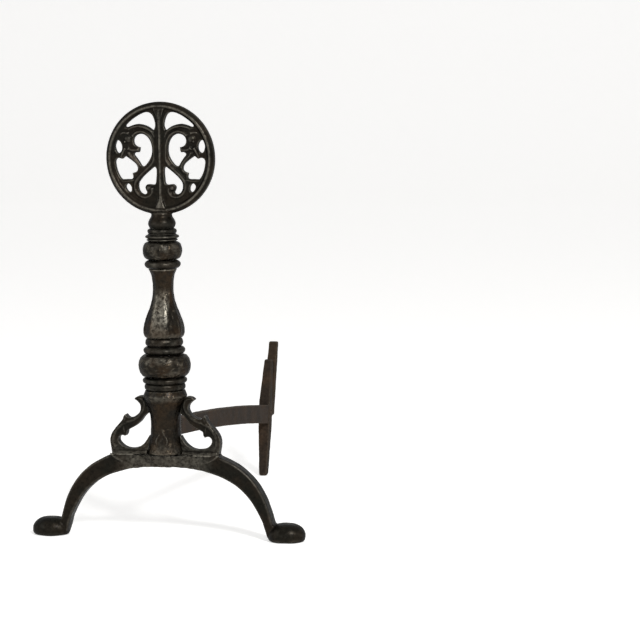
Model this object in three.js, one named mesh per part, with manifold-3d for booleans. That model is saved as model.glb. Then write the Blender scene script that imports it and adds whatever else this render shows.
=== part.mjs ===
/**
 * Cast-iron andiron with a pierced roundel finial.
 *
 * Millimetres. +X is to the right as seen from the hearth, +Y runs back into the fireplace, +Z is up.
 * The front is a stack of castings threaded on one tie rod: an arch on two feet, a pedestal, turned
 * rings and knops, a faceted vase and the roundel, whose stem takes the rod's upper end. A nut in a
 * pocket under the arch pulls the stack together. Behind it a forged billet bar, held in the pedestal
 * by the same rod, runs back to a rear leg and a tall log stop.
 */

import * as THREE from 'three';
import { mergeVertices } from 'three/addons/utils/BufferGeometryUtils.js';
import Module from 'manifold-3d';

// ---------------------------------------------------------------- driving dimensions

// Clearances between neighbouring pieces
const JOINT_GAP = 0.2; // seams of the stack, seats of nut, washer and forged parts
const FIT = 0.3; // all round a piece that enters or laps another
const ROD_CLEARANCE = 0.5; // tie rod in its bores
const SCREW_CLEARANCE = 0.3; // screws and rivets in their holes

// Arch and feet
const ARCH_SEAT_HEIGHT = 120; // floor to the flat seat under pedestal and brackets
const ARCH_SECTION = 19; // seat to the underside of the crown
const ARCH_CREST_RISE = 8.8; // seat to the crown of the outer curve, which the seat cuts off
const ARCH_DEPTH = 24; // front to back
const ANKLE_HEIGHT = 27; // floor to the ankle
const ANKLE_THICKNESS = 15; // inner to outer side of the ankle
const ANKLE_INSET = 24.9; // middle of the foot to the middle of the ankle
const LEG_INNER_SPLAY = 6; // inner side of the leg's end outside the ankle's
const LEG_OUTER_SPLAY = 8; // outer side of the leg's end outside the ankle's
const LEG_END_HEIGHT = 2; // floor to the leg's end, which lies inside the foot
const SKIRT_RADIUS = 25; // skirt under the pedestal, front to back at the seat
const SKIRT_FOOT_RADIUS = 16.5; // the skirt at the crown's underside
const SKIRT_STRETCH = 1.7; // the skirt's length along the arch over its depth
const SKIRT_SHOULDER = 3; // straight part of the skirt below the seat
const FOOT_SPAN = 399; // over both feet
const FOOT_LENGTH = 55; // each foot, along X
const FOOT_WIDTH = 46; // each foot, along Y
const FOOT_HEIGHT = 26; // crown of each foot

// Curves of the arch: the first handle's reach over the ankle's, its rise over the whole rise, and the
// second handle's reach over the ankle's
const INNER_CURVE = { lowReach: 0.875, lowRise: 0.486, highReach: 0.737 };
const OUTER_CURVE = { lowReach: 0.911, lowRise: 0.58, highReach: 0.706 };

// Tie rod, nut and washer
const ROD_RADIUS = 4.8;
const ROD_ENGAGEMENT = 16.5; // length inside the finial's stem
const NUT_POCKET_RADIUS = 12.5;
const POCKET_ROOF = 5.2; // metal between the nut pocket and the seat
const NUT_ACROSS_FLATS = 16;
const NUT_HEIGHT = 7.5;
const WASHER_RADIUS = 11;
const WASHER_THICKNESS = 2.4;
const ROD_PROTRUSION = 0.5; // rod below the nut

// Column: heights and radii from the pedestal up
const PEDESTAL_HEIGHT = 90.2;
const PEDESTAL_FOOT_RADIUS = 26.5;
const PEDESTAL_WAIST_RADIUS = 21.5;
const PEDESTAL_CAP_RADIUS = 31.7;
const PEDESTAL_TOP_RADIUS = 28.3;
const LOWER_KNOP_HEIGHT = 31.8;
const LOWER_KNOP_RADIUS = 37;
const LOWER_KNOP_NECK_RADIUS = 26.6;
const WAIST_RADIUS = 25.4; // top of the lower knop and foot of the waist rings
const VASE_HEIGHT = 97.3;
const VASE_BELLY_SHARE = 0.1; // height of the belly over the vase's height
const VASE_NECK_SHARE = 0.73; // height of the neck over the vase's height
const VASE_FOOT_RADIUS = 24.4;
const VASE_BELLY_RADIUS = 30.6;
const VASE_NECK_RADIUS = 15.3;
const VASE_LIP_RADIUS = 20.8;
const UPPER_KNOP_HEIGHT = 25.6;
const UPPER_KNOP_RADIUS = 27.9;
const UPPER_KNOP_NECK_RADIUS = 19.4;

// Rings of the column, each with its crest radius and height; a seam is shared by two rings
const BASE_RING_FOOT_RADIUS = 27.6;
const BASE_RING_LOWER_RADIUS = 28.9;
const BASE_RING_LOWER_HEIGHT = 8.8;
const BASE_RING_SEAM_RADIUS = 27.8;
const BASE_RING_UPPER_RADIUS = 31.3;
const BASE_RING_UPPER_HEIGHT = 9;
const WAIST_RING_LOWER_RADIUS = 29.4;
const WAIST_RING_LOWER_HEIGHT = 11.2;
const WAIST_RING_SEAM_RADIUS = 23.6;
const WAIST_RING_UPPER_RADIUS = 26.6;
const WAIST_RING_UPPER_HEIGHT = 10.8;
const COLLAR_RADIUS = 25.4;
const COLLAR_HEIGHT = 11.9;
const UPPER_BEAD_RADIUS = 23.8;
const UPPER_BEAD_HEIGHT = 10.6;
const STEM_SEAM_RADIUS = 19.6;
const STEM_RING_RADIUS = 20.6;
const STEM_RING_HEIGHT = 7;

// Roundel finial
const ROUNDEL_RADIUS = 78.2;
const ROUNDEL_RIM_WIDTH = 11; // outer edge to the pierced plate
const ROUNDEL_CREST_INSET = 5.9; // outer edge to the ridge that runs round both faces of the rim
const ROUNDEL_RIM_DEPTH = 16.6;
const ROUNDEL_RIM_EDGE = 7; // width of the rim's outer edge
const TRACERY_DEPTH = 8;
const STEM_LENGTH = 19; // foot of the stem to the underside of the rim
const STEM_FOOT_RADIUS = 17.4;
const STEM_BULB_RADIUS = 19.4;
const STEM_NECK_RADIUS = 14.5;

// Scroll brackets
const BRACKET_REACH = 58.8; // pedestal waist to the outermost point of the scroll
const BRACKET_HEIGHT = 81.5; // seat to the top of the leaf
const BRACKET_DEPTH = 14;
const BRACKET_SCREW_OFFSET = 52; // axis to the screw
const SCREW_SHANK_RADIUS = 2.5;
const SCREW_HEAD_RADIUS = 4.4;
const SCREW_HEAD_HEIGHT = 4;
const SCREW_HEAD_DEPTH = 13; // seat of the screw's head below the arch's seat
const SCREW_BITE = 4.2; // screw inside the bracket

// Billet bar
const BAR_WIDTH = 16.4;
const BAR_FRONT_HEIGHT = 25; // section at the pedestal
const BAR_REAR_HEIGHT = 30.2; // section at the rear leg
const BAR_ENTRY = 45.3; // pedestal's foot to the bar's top
const BAR_REAR_TOP = 110.8; // floor to the bar's top at the rear leg
const BAR_CROWN = 5.2; // rise of the bar's curve above its chord
const BAR_LEVEL_LENGTH = 26; // straight end inside the pedestal, from the axis
const BAR_REACH = 531; // axis to the middle of the rear leg's foot
const TENON_WIDTH = 8;
const TENON_WALL = 3.2; // tail's metal over and under the tenon
const TENON_IN_TAIL = 14; // tenon beyond the rear leg
const RIVET_RADIUS = 2.2;

// Rear leg
const REAR_LEAN = 0.18; // how far leg, tail and bar's end stand back for each unit of height
const LEG_WIDTH = 18.5; // at the bar
const LEG_THICKNESS = 20; // at the bar
const LEG_FOOT_WIDTH = 13.2;
const LEG_FOOT_THICKNESS = 14.5;
const LEG_SOLE_SHARE = 0.8; // width and thickness of the sole over those of the foot
const LEG_SOLE_RISE = 2.9; // height over which the sole widens to the foot
const LEG_HEIGHT = 181;
const LEG_TIP_WIDTH = 13;
const LEG_TIP_THICKNESS = 10;
const LEG_TIP_SETBACK = 10.5; // the tip's middle behind the leaning line of the leg
const LEG_SHOULDER = 6; // full section above and below the bar

// Tail with the tall log stop
const TAIL_WIDTH = 15.5;
const TAIL_TOP_REACH = 43.9; // leaning line of the leg to the back of the stop, at its top
const TAIL_HEEL_REACH = 30.6; // the same at the flat underside
const TAIL_HEIGHT = 206; // floor to the top of the stop
const TAIL_HEEL_RISE = 10.4; // bar's underside to the tail's flat underside
const TAIL_HEEL_LENGTH = 12; // flat underside, along Y
const TAIL_TOP_THICKNESS = 9; // block at the top of the stop
const TAIL_BLOCK_HEIGHT = 18;
const TAIL_LEDGE = 3.5; // how far the stop stands out under the block
const TAIL_LEDGE_HEIGHT = 6; // height of the slope under the block
const TAIL_SWEEP_TOP = 152; // floor to where the stop's front starts to sweep forward
const TAIL_ROOT_DROP = 4; // bar's top to the tail's top where it meets the leg
const TAIL_ROOT_LENGTH = 5; // near-level part of the tail behind the leg
const TAIL_ROOT_SLOPE = 1; // fall over that part

// Facets
const RING_SIDES = 32;
const RIM_SIDES = 64;
const VASE_SIDES = 8;
const HOLE_SIDES = 16;
const FOOT_SIDES = 24;
const POCKET_SIDES = 24; // nut pocket and washer
const ARCH_CURVE_STEPS = 14; // each half of the band's curves
const TAIL_CURVE_STEPS = 8;
const BAR_STEPS = 12; // facets along the bar

// ---------------------------------------------------------------- derived places

const ARCH_CLEAR_HEIGHT = ARCH_SEAT_HEIGHT - ARCH_SECTION;
const ARCH_CROWN_HEIGHT = ARCH_SEAT_HEIGHT + ARCH_CREST_RISE;
const FOOT_MIDDLE = (FOOT_SPAN - FOOT_LENGTH) / 2;
const ANKLE_INNER_REACH = FOOT_MIDDLE - ANKLE_INSET - ANKLE_THICKNESS / 2;
const ANKLE_OUTER_REACH = FOOT_MIDDLE - ANKLE_INSET + ANKLE_THICKNESS / 2;
const COLUMN_BASE = ARCH_SEAT_HEIGHT + JOINT_GAP;
const PEDESTAL_TOP = COLUMN_BASE + PEDESTAL_HEIGHT;
const BORE_RADIUS = ROD_RADIUS + ROD_CLEARANCE;
const POCKET_TOP = ARCH_SEAT_HEIGHT - POCKET_ROOF;
const WASHER_BASE = POCKET_TOP - JOINT_GAP - WASHER_THICKNESS;
const NUT_BASE = WASHER_BASE - JOINT_GAP - NUT_HEIGHT;
const BAR_FRONT_TOP = COLUMN_BASE + BAR_ENTRY;
const BAR_FRONT_BOTTOM = BAR_FRONT_TOP - BAR_FRONT_HEIGHT;
const BAR_REAR_BOTTOM = BAR_REAR_TOP - BAR_REAR_HEIGHT;
const TAIL_UNDERSIDE = BAR_REAR_BOTTOM + TAIL_HEEL_RISE;
const TAIL_ROOT_TOP = BAR_REAR_TOP - TAIL_ROOT_DROP;
const TENON_AXIS = (TAIL_UNDERSIDE + TAIL_ROOT_TOP) / 2;
const TENON_HEIGHT = TAIL_ROOT_TOP - TAIL_UNDERSIDE - 2 * TENON_WALL;
const LEG_FRONT = BAR_REACH - LEG_THICKNESS / 2; // on the floor, as all places of the leaning pieces
const LEG_BACK = BAR_REACH + LEG_THICKNESS / 2;
const TAIL_FRONT = LEG_BACK + JOINT_GAP;
const LEG_RIVET_Y = BAR_REACH + REAR_LEAN * TENON_AXIS;
const TAIL_RIVET_Y = LEG_BACK + TENON_IN_TAIL / 2 + REAR_LEAN * TENON_AXIS;
const ROUNDEL_OPENING_RADIUS = ROUNDEL_RADIUS - ROUNDEL_RIM_WIDTH;
const ROUNDEL_CREST_RADIUS = ROUNDEL_RADIUS - ROUNDEL_CREST_INSET;
const FRONT_MOST = -Math.max(LOWER_KNOP_RADIUS, FOOT_WIDTH / 2);
const REAR_MOST = BAR_REACH + TAIL_TOP_REACH + REAR_LEAN * TAIL_HEIGHT;
const MID_DEPTH = (FRONT_MOST + REAR_MOST) / 2;

// ---------------------------------------------------------------- finishes

const patinatedIron = new THREE.MeshStandardMaterial({ color: 0x2e2a24, roughness: 0.5, metalness: 0.75 });
const hammeredIron = new THREE.MeshStandardMaterial({ color: 0x3a342b, roughness: 0.45, metalness: 0.8 });
const forgedIron = new THREE.MeshStandardMaterial({ color: 0x3d2f29, roughness: 0.75, metalness: 0.45 });
const darkSteel = new THREE.MeshStandardMaterial({ color: 0x2b2b2c, roughness: 0.6, metalness: 0.7 });

// ---------------------------------------------------------------- solids

const wasm = await Module();
wasm.setup();

/** A closed geometry as a solid that can be joined and cut. */
function solidOf(geometry) {
	const bare = geometry.clone();
	bare.deleteAttribute('normal');
	bare.deleteAttribute('uv');
	const merged = mergeVertices(bare, 1e-4);
	const index = merged.index.array;
	const triangles = [];
	for (let i = 0; i < index.length; i += 3) {
		const [a, b, c] = [index[i], index[i + 1], index[i + 2]];
		if (a !== b && b !== c && c !== a) triangles.push(a, b, c);
	}
	return new wasm.Manifold(new wasm.Mesh({
		numProp: 3,
		vertProperties: new Float32Array(merged.attributes.position.array),
		triVerts: new Uint32Array(triangles),
	}));
}

/** A solid back as a geometry. */
function geometryOf(solid) {
	const mesh = solid.getMesh();
	const geometry = new THREE.BufferGeometry();
	geometry.setAttribute('position', new THREE.BufferAttribute(new Float32Array(mesh.vertProperties), 3));
	geometry.setIndex(Array.from(mesh.triVerts));
	geometry.computeVertexNormals();
	return geometry;
}

/** A profile of [radius, height] pairs turned round the Z axis. */
function turned(profile, sides = RING_SIDES, turn = 0) {
	const points = profile.map(([radius, height]) => new THREE.Vector2(radius, height));
	const geometry = new THREE.LatheGeometry(points, sides);
	geometry.rotateY(turn);
	geometry.rotateX(Math.PI / 2);
	return geometry;
}

/** A round bar along Z from one height to another. */
function upright(radius, bottom, top, sides = HOLE_SIDES) {
	return turned([[0, bottom], [radius, bottom], [radius, top], [0, top]], sides);
}

/** A round bar along X, centred on X = 0. */
function crosswise(radius, length, y, z) {
	const geometry = upright(radius, -length / 2, length / 2);
	geometry.rotateY(Math.PI / 2);
	geometry.translate(0, y, z);
	return geometry;
}

/** A box from its six limits. */
function boxBetween(x0, x1, y0, y1, z0, z1) {
	const geometry = new THREE.BoxGeometry(x1 - x0, y1 - y0, z1 - z0);
	geometry.translate((x0 + x1) / 2, (y0 + y1) / 2, (z0 + z1) / 2);
	return geometry;
}

/** An outline drawn in X and Z, given a depth along Y and centred on Y = 0. */
function frontPlate(shape, depth, curveSegments) {
	const geometry = new THREE.ExtrudeGeometry(shape, { depth, bevelEnabled: false, curveSegments });
	geometry.translate(0, 0, -depth / 2);
	geometry.rotateX(Math.PI / 2);
	return geometry;
}

/** An outline drawn in Y and Z, given a width along X and centred on X = 0. */
function sidePlate(shape, width, curveSegments) {
	const geometry = new THREE.ExtrudeGeometry(shape, { depth: width, bevelEnabled: false, curveSegments });
	geometry.translate(0, 0, -width / 2);
	const axes = new THREE.Matrix4().makeBasis(
		new THREE.Vector3(0, 1, 0),
		new THREE.Vector3(0, 0, 1),
		new THREE.Vector3(1, 0, 0),
	);
	geometry.applyMatrix4(axes);
	return geometry;
}

/** A closed body through rectangles stacked upwards, each { z, width, y, thickness }. */
function stackedBlocks(sections) {
	const positions = [];
	for (const { z, width, y, thickness } of sections) {
		const [w, t] = [width / 2, thickness / 2];
		positions.push(-w, y - t, z, w, y - t, z, w, y + t, z, -w, y + t, z);
	}
	const index = [0, 2, 1, 0, 3, 2];
	for (let level = 0; level < sections.length - 1; level++) {
		for (let corner = 0; corner < 4; corner++) {
			const a = level * 4 + corner;
			const b = level * 4 + (corner + 1) % 4;
			index.push(a, b, b + 4, a, b + 4, a + 4);
		}
	}
	const top = (sections.length - 1) * 4;
	index.push(top, top + 1, top + 2, top, top + 2, top + 3);
	const geometry = new THREE.BufferGeometry();
	geometry.setAttribute('position', new THREE.BufferAttribute(new Float32Array(positions), 3));
	geometry.setIndex(index);
	return geometry;
}

/** Points of a closed outline: smooth inside each run, with a corner where two runs meet. */
function outlinePoints(runs, steps = 2) {
	return runs.flatMap((run) => {
		const points = run.map(([u, v]) => new THREE.Vector2(u, v));
		if (points.length === 2) return [points[0]];
		return new THREE.SplineCurve(points).getPoints(steps * (points.length - 1)).slice(0, -1);
	});
}

/** Radius of a lathe polygon that stays clear of a round of the given radius. */
function clearRadius(radius, sides) {
	return radius / Math.cos(Math.PI / sides);
}

/** A turned piece of the column, with the tie rod's bore through it. */
function columnTurning(outer, sides = RING_SIDES, turn = 0) {
	const bore = clearRadius(BORE_RADIUS, sides);
	const bottom = outer[0][1];
	const top = outer[outer.length - 1][1];
	return turned([[bore, bottom], ...outer, [bore, top], [bore, bottom]], sides, turn);
}

/** A bead: foot and top radii with a rounded crest between them, over its own height. */
function bead({ foot, crest, top, height, crestAt = 0.5 }) {
	const profile = [];
	const below = 2;
	for (let i = 0; i <= 2 * below; i++) {
		const angle = (Math.PI / 2) * (i / below - 1);
		const end = angle < 0 ? foot : top;
		const rise = angle < 0 ? crestAt : 1 - crestAt;
		profile.push([end + (crest - end) * Math.cos(angle), height * (crestAt + rise * Math.sin(angle))]);
	}
	return profile;
}

// ---------------------------------------------------------------- arch and feet

/** Outline of the band from foot to foot, before the seat is cut flat. */
function archShape() {
	const innerEnd = ANKLE_INNER_REACH + LEG_INNER_SPLAY;
	const outerEnd = ANKLE_OUTER_REACH + LEG_OUTER_SPLAY;
	const handles = ({ lowReach, lowRise, highReach }, reach, crown) => ({
		low: [reach * lowReach, ANKLE_HEIGHT + (crown - ANKLE_HEIGHT) * lowRise],
		high: [reach * highReach, crown],
	});
	const outer = handles(OUTER_CURVE, ANKLE_OUTER_REACH, ARCH_CROWN_HEIGHT);
	const inner = handles(INNER_CURVE, ANKLE_INNER_REACH, ARCH_CLEAR_HEIGHT);
	const shape = new THREE.Shape();
	shape.moveTo(innerEnd, LEG_END_HEIGHT);
	shape.lineTo(outerEnd, LEG_END_HEIGHT);
	shape.lineTo(ANKLE_OUTER_REACH, ANKLE_HEIGHT);
	shape.bezierCurveTo(...outer.low, ...outer.high, 0, ARCH_CROWN_HEIGHT);
	shape.bezierCurveTo(
		-outer.high[0], outer.high[1],
		-outer.low[0], outer.low[1],
		-ANKLE_OUTER_REACH, ANKLE_HEIGHT,
	);
	shape.lineTo(-outerEnd, LEG_END_HEIGHT);
	shape.lineTo(-innerEnd, LEG_END_HEIGHT);
	shape.lineTo(-ANKLE_INNER_REACH, ANKLE_HEIGHT);
	shape.bezierCurveTo(
		-inner.low[0], inner.low[1],
		-inner.high[0], inner.high[1],
		0, ARCH_CLEAR_HEIGHT,
	);
	shape.bezierCurveTo(...inner.high, ...inner.low, ANKLE_INNER_REACH, ANKLE_HEIGHT);
	shape.lineTo(innerEnd, LEG_END_HEIGHT);
	return shape;
}

/** One rounded foot with a flat sole and a nearly flat top. */
function footPad(side) {
	const profile = [
		[0, 0], [0.88, 0], [0.97, 0.12], [1, 0.32], [0.985, 0.5], [0.9, 0.67], [0.78, 0.8], [0.6, 0.92],
		[0.38, 0.985], [0, 1],
	];
	const pad = turned(profile, FOOT_SIDES);
	pad.scale(FOOT_LENGTH / 2, FOOT_WIDTH / 2, FOOT_HEIGHT);
	pad.translate(side * FOOT_MIDDLE, 0, 0);
	return pad;
}

/** The arch casting: band, feet, skirt, flat seat, nut pocket, rod bore and screw holes. */
function legArchGeometry() {
	const skirt = turned([
		[0, ARCH_CLEAR_HEIGHT],
		[SKIRT_FOOT_RADIUS, ARCH_CLEAR_HEIGHT],
		[SKIRT_RADIUS, ARCH_SEAT_HEIGHT - SKIRT_SHOULDER],
		[SKIRT_RADIUS, ARCH_SEAT_HEIGHT],
		[0, ARCH_SEAT_HEIGHT],
	]).scale(SKIRT_STRETCH, 1, 1);
	const aboveSeat = boxBetween(
		-FOOT_SPAN / 2, FOOT_SPAN / 2,
		-ARCH_DEPTH, ARCH_DEPTH,
		ARCH_SEAT_HEIGHT, ARCH_SEAT_HEIGHT + ARCH_CROWN_HEIGHT,
	);
	let solid = solidOf(frontPlate(archShape(), ARCH_DEPTH, ARCH_CURVE_STEPS)).subtract(solidOf(aboveSeat));
	solid = solid.add(solidOf(skirt));
	const bore = clearRadius(BORE_RADIUS, HOLE_SIDES);
	solid = solid.subtract(solidOf(upright(bore, 0, 2 * ARCH_SEAT_HEIGHT)));
	solid = solid.subtract(solidOf(upright(NUT_POCKET_RADIUS, 0, POCKET_TOP, POCKET_SIDES)));
	for (const side of [-1, 1]) {
		solid = solid.add(solidOf(footPad(side)));
		solid = solid.subtract(screwHole(side));
	}
	return geometryOf(solid);
}

// ---------------------------------------------------------------- screws of the brackets

/** Head seat, shank and tip heights shared by a bracket's screw and its hole. */
const SCREW_SEAT = ARCH_SEAT_HEIGHT - SCREW_HEAD_DEPTH;
const SCREW_TIP = COLUMN_BASE + SCREW_BITE;

function screwGeometry(side) {
	const screw = turned([
		[0, SCREW_SEAT - SCREW_HEAD_HEIGHT],
		[SCREW_HEAD_RADIUS, SCREW_SEAT - SCREW_HEAD_HEIGHT],
		[SCREW_HEAD_RADIUS, SCREW_SEAT - JOINT_GAP],
		[SCREW_SHANK_RADIUS, SCREW_SEAT - JOINT_GAP],
		[SCREW_SHANK_RADIUS, SCREW_TIP],
		[0, SCREW_TIP],
	], HOLE_SIDES);
	screw.translate(side * BRACKET_SCREW_OFFSET, 0, 0);
	return screw;
}

/** Clearance round a screw: a pocket for its head and a hole past its tip. */
function screwHole(side) {
	const pocket = clearRadius(SCREW_HEAD_RADIUS + SCREW_CLEARANCE, HOLE_SIDES);
	const shank = clearRadius(SCREW_SHANK_RADIUS + SCREW_CLEARANCE, HOLE_SIDES);
	const hole = turned([
		[0, 0], [pocket, 0], [pocket, SCREW_SEAT], [shank, SCREW_SEAT],
		[shank, SCREW_TIP + SCREW_CLEARANCE], [0, SCREW_TIP + SCREW_CLEARANCE],
	], HOLE_SIDES);
	hole.translate(side * BRACKET_SCREW_OFFSET, 0, 0);
	return solidOf(hole);
}

// ---------------------------------------------------------------- pedestal

/** Outer profile of the pedestal, grown by a margin where a neighbour must stay clear of it. */
function pedestalProfile(margin = 0) {
	const heights = [0, 0.03, 0.1, 0.2, 0.32, 0.46, 0.6, 0.72, 0.81, 0.87, 0.91, 0.95, 1];
	const flare = PEDESTAL_FOOT_RADIUS - PEDESTAL_WAIST_RADIUS;
	const swell = PEDESTAL_CAP_RADIUS - PEDESTAL_WAIST_RADIUS;
	const cap = 0.91;
	return heights.map((t) => {
		let radius = PEDESTAL_WAIST_RADIUS;
		if (t < 0.46) radius += flare * (1 - t / 0.46) ** 2.2;
		else if (t <= cap) radius += swell * ((t - 0.46) / (cap - 0.46)) ** 2.2;
		else {
			const fall = (t - cap) / (1 - cap);
			radius = PEDESTAL_CAP_RADIUS + (PEDESTAL_TOP_RADIUS - PEDESTAL_CAP_RADIUS) * fall ** 0.8;
		}
		return [radius + margin, COLUMN_BASE + PEDESTAL_HEIGHT * t];
	});
}

/** The pedestal casting: turned body, rod bore and the mortise for the billet bar. */
function pedestalGeometry() {
	const half = BAR_WIDTH / 2 + FIT;
	const mortise = boxBetween(
		-half, half,
		-half, 2 * PEDESTAL_CAP_RADIUS,
		BAR_FRONT_BOTTOM - FIT, BAR_FRONT_TOP + FIT,
	);
	return geometryOf(solidOf(columnTurning(pedestalProfile())).subtract(solidOf(mortise)));
}

// ---------------------------------------------------------------- scroll brackets

/** Outline of the right-hand bracket as [out from the pedestal's waist, up from the seat]. */
const BRACKET_OUTLINE = [
	[[-6, 80], [11.5, 81.5], [16.5, 81], [20, 79.5], [23, 76.5]],
	[[23, 76.5], [19, 74.3], [15.3, 71], [13.2, 66.5], [13.6, 61.5], [16, 57.2], [20.3, 53.6], [25, 51], [30, 49.8]],
	[[30, 49.8], [33, 51.8], [36, 55.5]],
	[[36, 55.5], [38.8, 52], [40.2, 47.8]],
	[[40.2, 47.8], [45, 42.2], [51, 35.6], [56, 28.5], [58.8, 21], [58.8, 13], [57.6, 6], [56.5, 0]],
	[[56.5, 0], [-6, 0]],
	[[-6, 0], [-6, 26], [1.5, 26]],
	[[1.5, 26], [4.6, 20.5], [9, 14.8], [15, 10], [21.5, 7.5], [29, 6.8], [37, 8.6], [43.3, 12.8], [46.6, 18.5],
		[45, 23.3], [41, 25], [36.5, 23.5]],
	[[36.5, 23.5], [34, 26.8], [33.4, 31.8]],
	[[33.4, 31.8], [27, 35.1], [21.5, 38.2], [16.5, 42], [12, 46.8], [8.6, 51.4], [5, 55], [1, 56.5], [-6, 57]],
	[[-6, 57], [-6, 80]],
];
const BRACKET_DRAWN_REACH = 58.8;
const BRACKET_DRAWN_HEIGHT = 81.5;

/** One scroll bracket, cut to lie against the pedestal and stand on the arch's seat. */
function bracketGeometry(side) {
	const across = BRACKET_REACH / BRACKET_DRAWN_REACH;
	const up = BRACKET_HEIGHT / BRACKET_DRAWN_HEIGHT;
	const place = ([u, v]) => [PEDESTAL_WAIST_RADIUS + u * across, COLUMN_BASE + v * up];
	const runs = BRACKET_OUTLINE.map((run) => run.map(place));
	const plate = frontPlate(new THREE.Shape(outlinePoints(runs)), BRACKET_DEPTH);
	const profile = pedestalProfile(FIT);
	const envelope = turned([[0, 0], [profile[0][0], 0], ...profile, [0, PEDESTAL_TOP]]);
	let solid = solidOf(plate).subtract(solidOf(envelope));
	solid = solid.subtract(screwHole(1));
	if (side < 0) solid = solid.mirror([1, 0, 0]);
	return geometryOf(solid);
}

// ---------------------------------------------------------------- rings, knops and vase

/** Profile of the lower knop: a full rounded cushion. */
function lowerKnopProfile() {
	return bead({
		foot: LOWER_KNOP_NECK_RADIUS, crest: LOWER_KNOP_RADIUS, top: WAIST_RADIUS,
		height: LOWER_KNOP_HEIGHT, crestAt: 0.53,
	});
}

/** Profile of the upper knop, a smaller cushion of the same form. */
function upperKnopProfile() {
	return bead({
		foot: UPPER_KNOP_NECK_RADIUS, crest: UPPER_KNOP_RADIUS, top: UPPER_KNOP_NECK_RADIUS,
		height: UPPER_KNOP_HEIGHT,
	});
}

/** Profile of the vase: a low belly drawn in to a long neck and flared again to its lip. */
function vaseProfile() {
	const belly = VASE_BELLY_RADIUS;
	const neck = VASE_NECK_RADIUS;
	const between = (a, b, t) => a + (b - a) * t;
	const points = [[VASE_FOOT_RADIUS, 0], [between(VASE_FOOT_RADIUS, belly, 0.8), VASE_BELLY_SHARE / 2]];
	for (const t of [0, 0.14, 0.28, 0.42, 0.56, 0.7, 0.85, 1]) {
		const drawnIn = 1 - (0.5 + 0.5 * Math.cos(Math.PI * t)) ** 1.25;
		points.push([between(belly, neck, drawnIn), between(VASE_BELLY_SHARE, VASE_NECK_SHARE, t)]);
	}
	for (const t of [0.4, 0.7, 0.9, 1]) {
		points.push([between(neck, VASE_LIP_RADIUS, t ** 2.4), between(VASE_NECK_SHARE, 1, t)]);
	}
	return points.map(([radius, t]) => [radius, VASE_HEIGHT * t]);
}

/** Everything between pedestal and finial, from the bottom up. */
const COLUMN_PIECES = [
	{
		name: 'base_ring_lower',
		profile: bead({
			foot: BASE_RING_FOOT_RADIUS, crest: BASE_RING_LOWER_RADIUS, top: BASE_RING_SEAM_RADIUS,
			height: BASE_RING_LOWER_HEIGHT,
		}),
	},
	{
		name: 'base_ring_upper',
		profile: bead({
			foot: BASE_RING_SEAM_RADIUS, crest: BASE_RING_UPPER_RADIUS, top: LOWER_KNOP_NECK_RADIUS,
			height: BASE_RING_UPPER_HEIGHT,
		}),
	},
	{ name: 'lower_knop', profile: lowerKnopProfile(), finish: hammeredIron },
	{
		name: 'waist_ring_lower',
		profile: bead({
			foot: WAIST_RADIUS, crest: WAIST_RING_LOWER_RADIUS, top: WAIST_RING_SEAM_RADIUS,
			height: WAIST_RING_LOWER_HEIGHT,
		}),
	},
	{
		name: 'waist_ring_upper',
		profile: bead({
			foot: WAIST_RING_SEAM_RADIUS, crest: WAIST_RING_UPPER_RADIUS, top: VASE_FOOT_RADIUS,
			height: WAIST_RING_UPPER_HEIGHT, crestAt: 0.42,
		}),
	},
	{ name: 'vase_baluster', profile: vaseProfile(), finish: hammeredIron, sides: VASE_SIDES },
	{
		name: 'vase_collar',
		profile: bead({
			foot: VASE_LIP_RADIUS, crest: COLLAR_RADIUS, top: UPPER_KNOP_NECK_RADIUS, height: COLLAR_HEIGHT,
		}),
	},
	{ name: 'upper_knop', profile: upperKnopProfile(), finish: hammeredIron },
	{
		name: 'upper_bead_ring',
		profile: bead({
			foot: UPPER_KNOP_NECK_RADIUS, crest: UPPER_BEAD_RADIUS, top: STEM_SEAM_RADIUS,
			height: UPPER_BEAD_HEIGHT, crestAt: 0.57,
		}),
	},
	{
		name: 'stem_ring',
		profile: bead({
			foot: STEM_SEAM_RADIUS, crest: STEM_RING_RADIUS, top: STEM_FOOT_RADIUS, height: STEM_RING_HEIGHT,
		}),
	},
];

// ---------------------------------------------------------------- roundel finial

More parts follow.
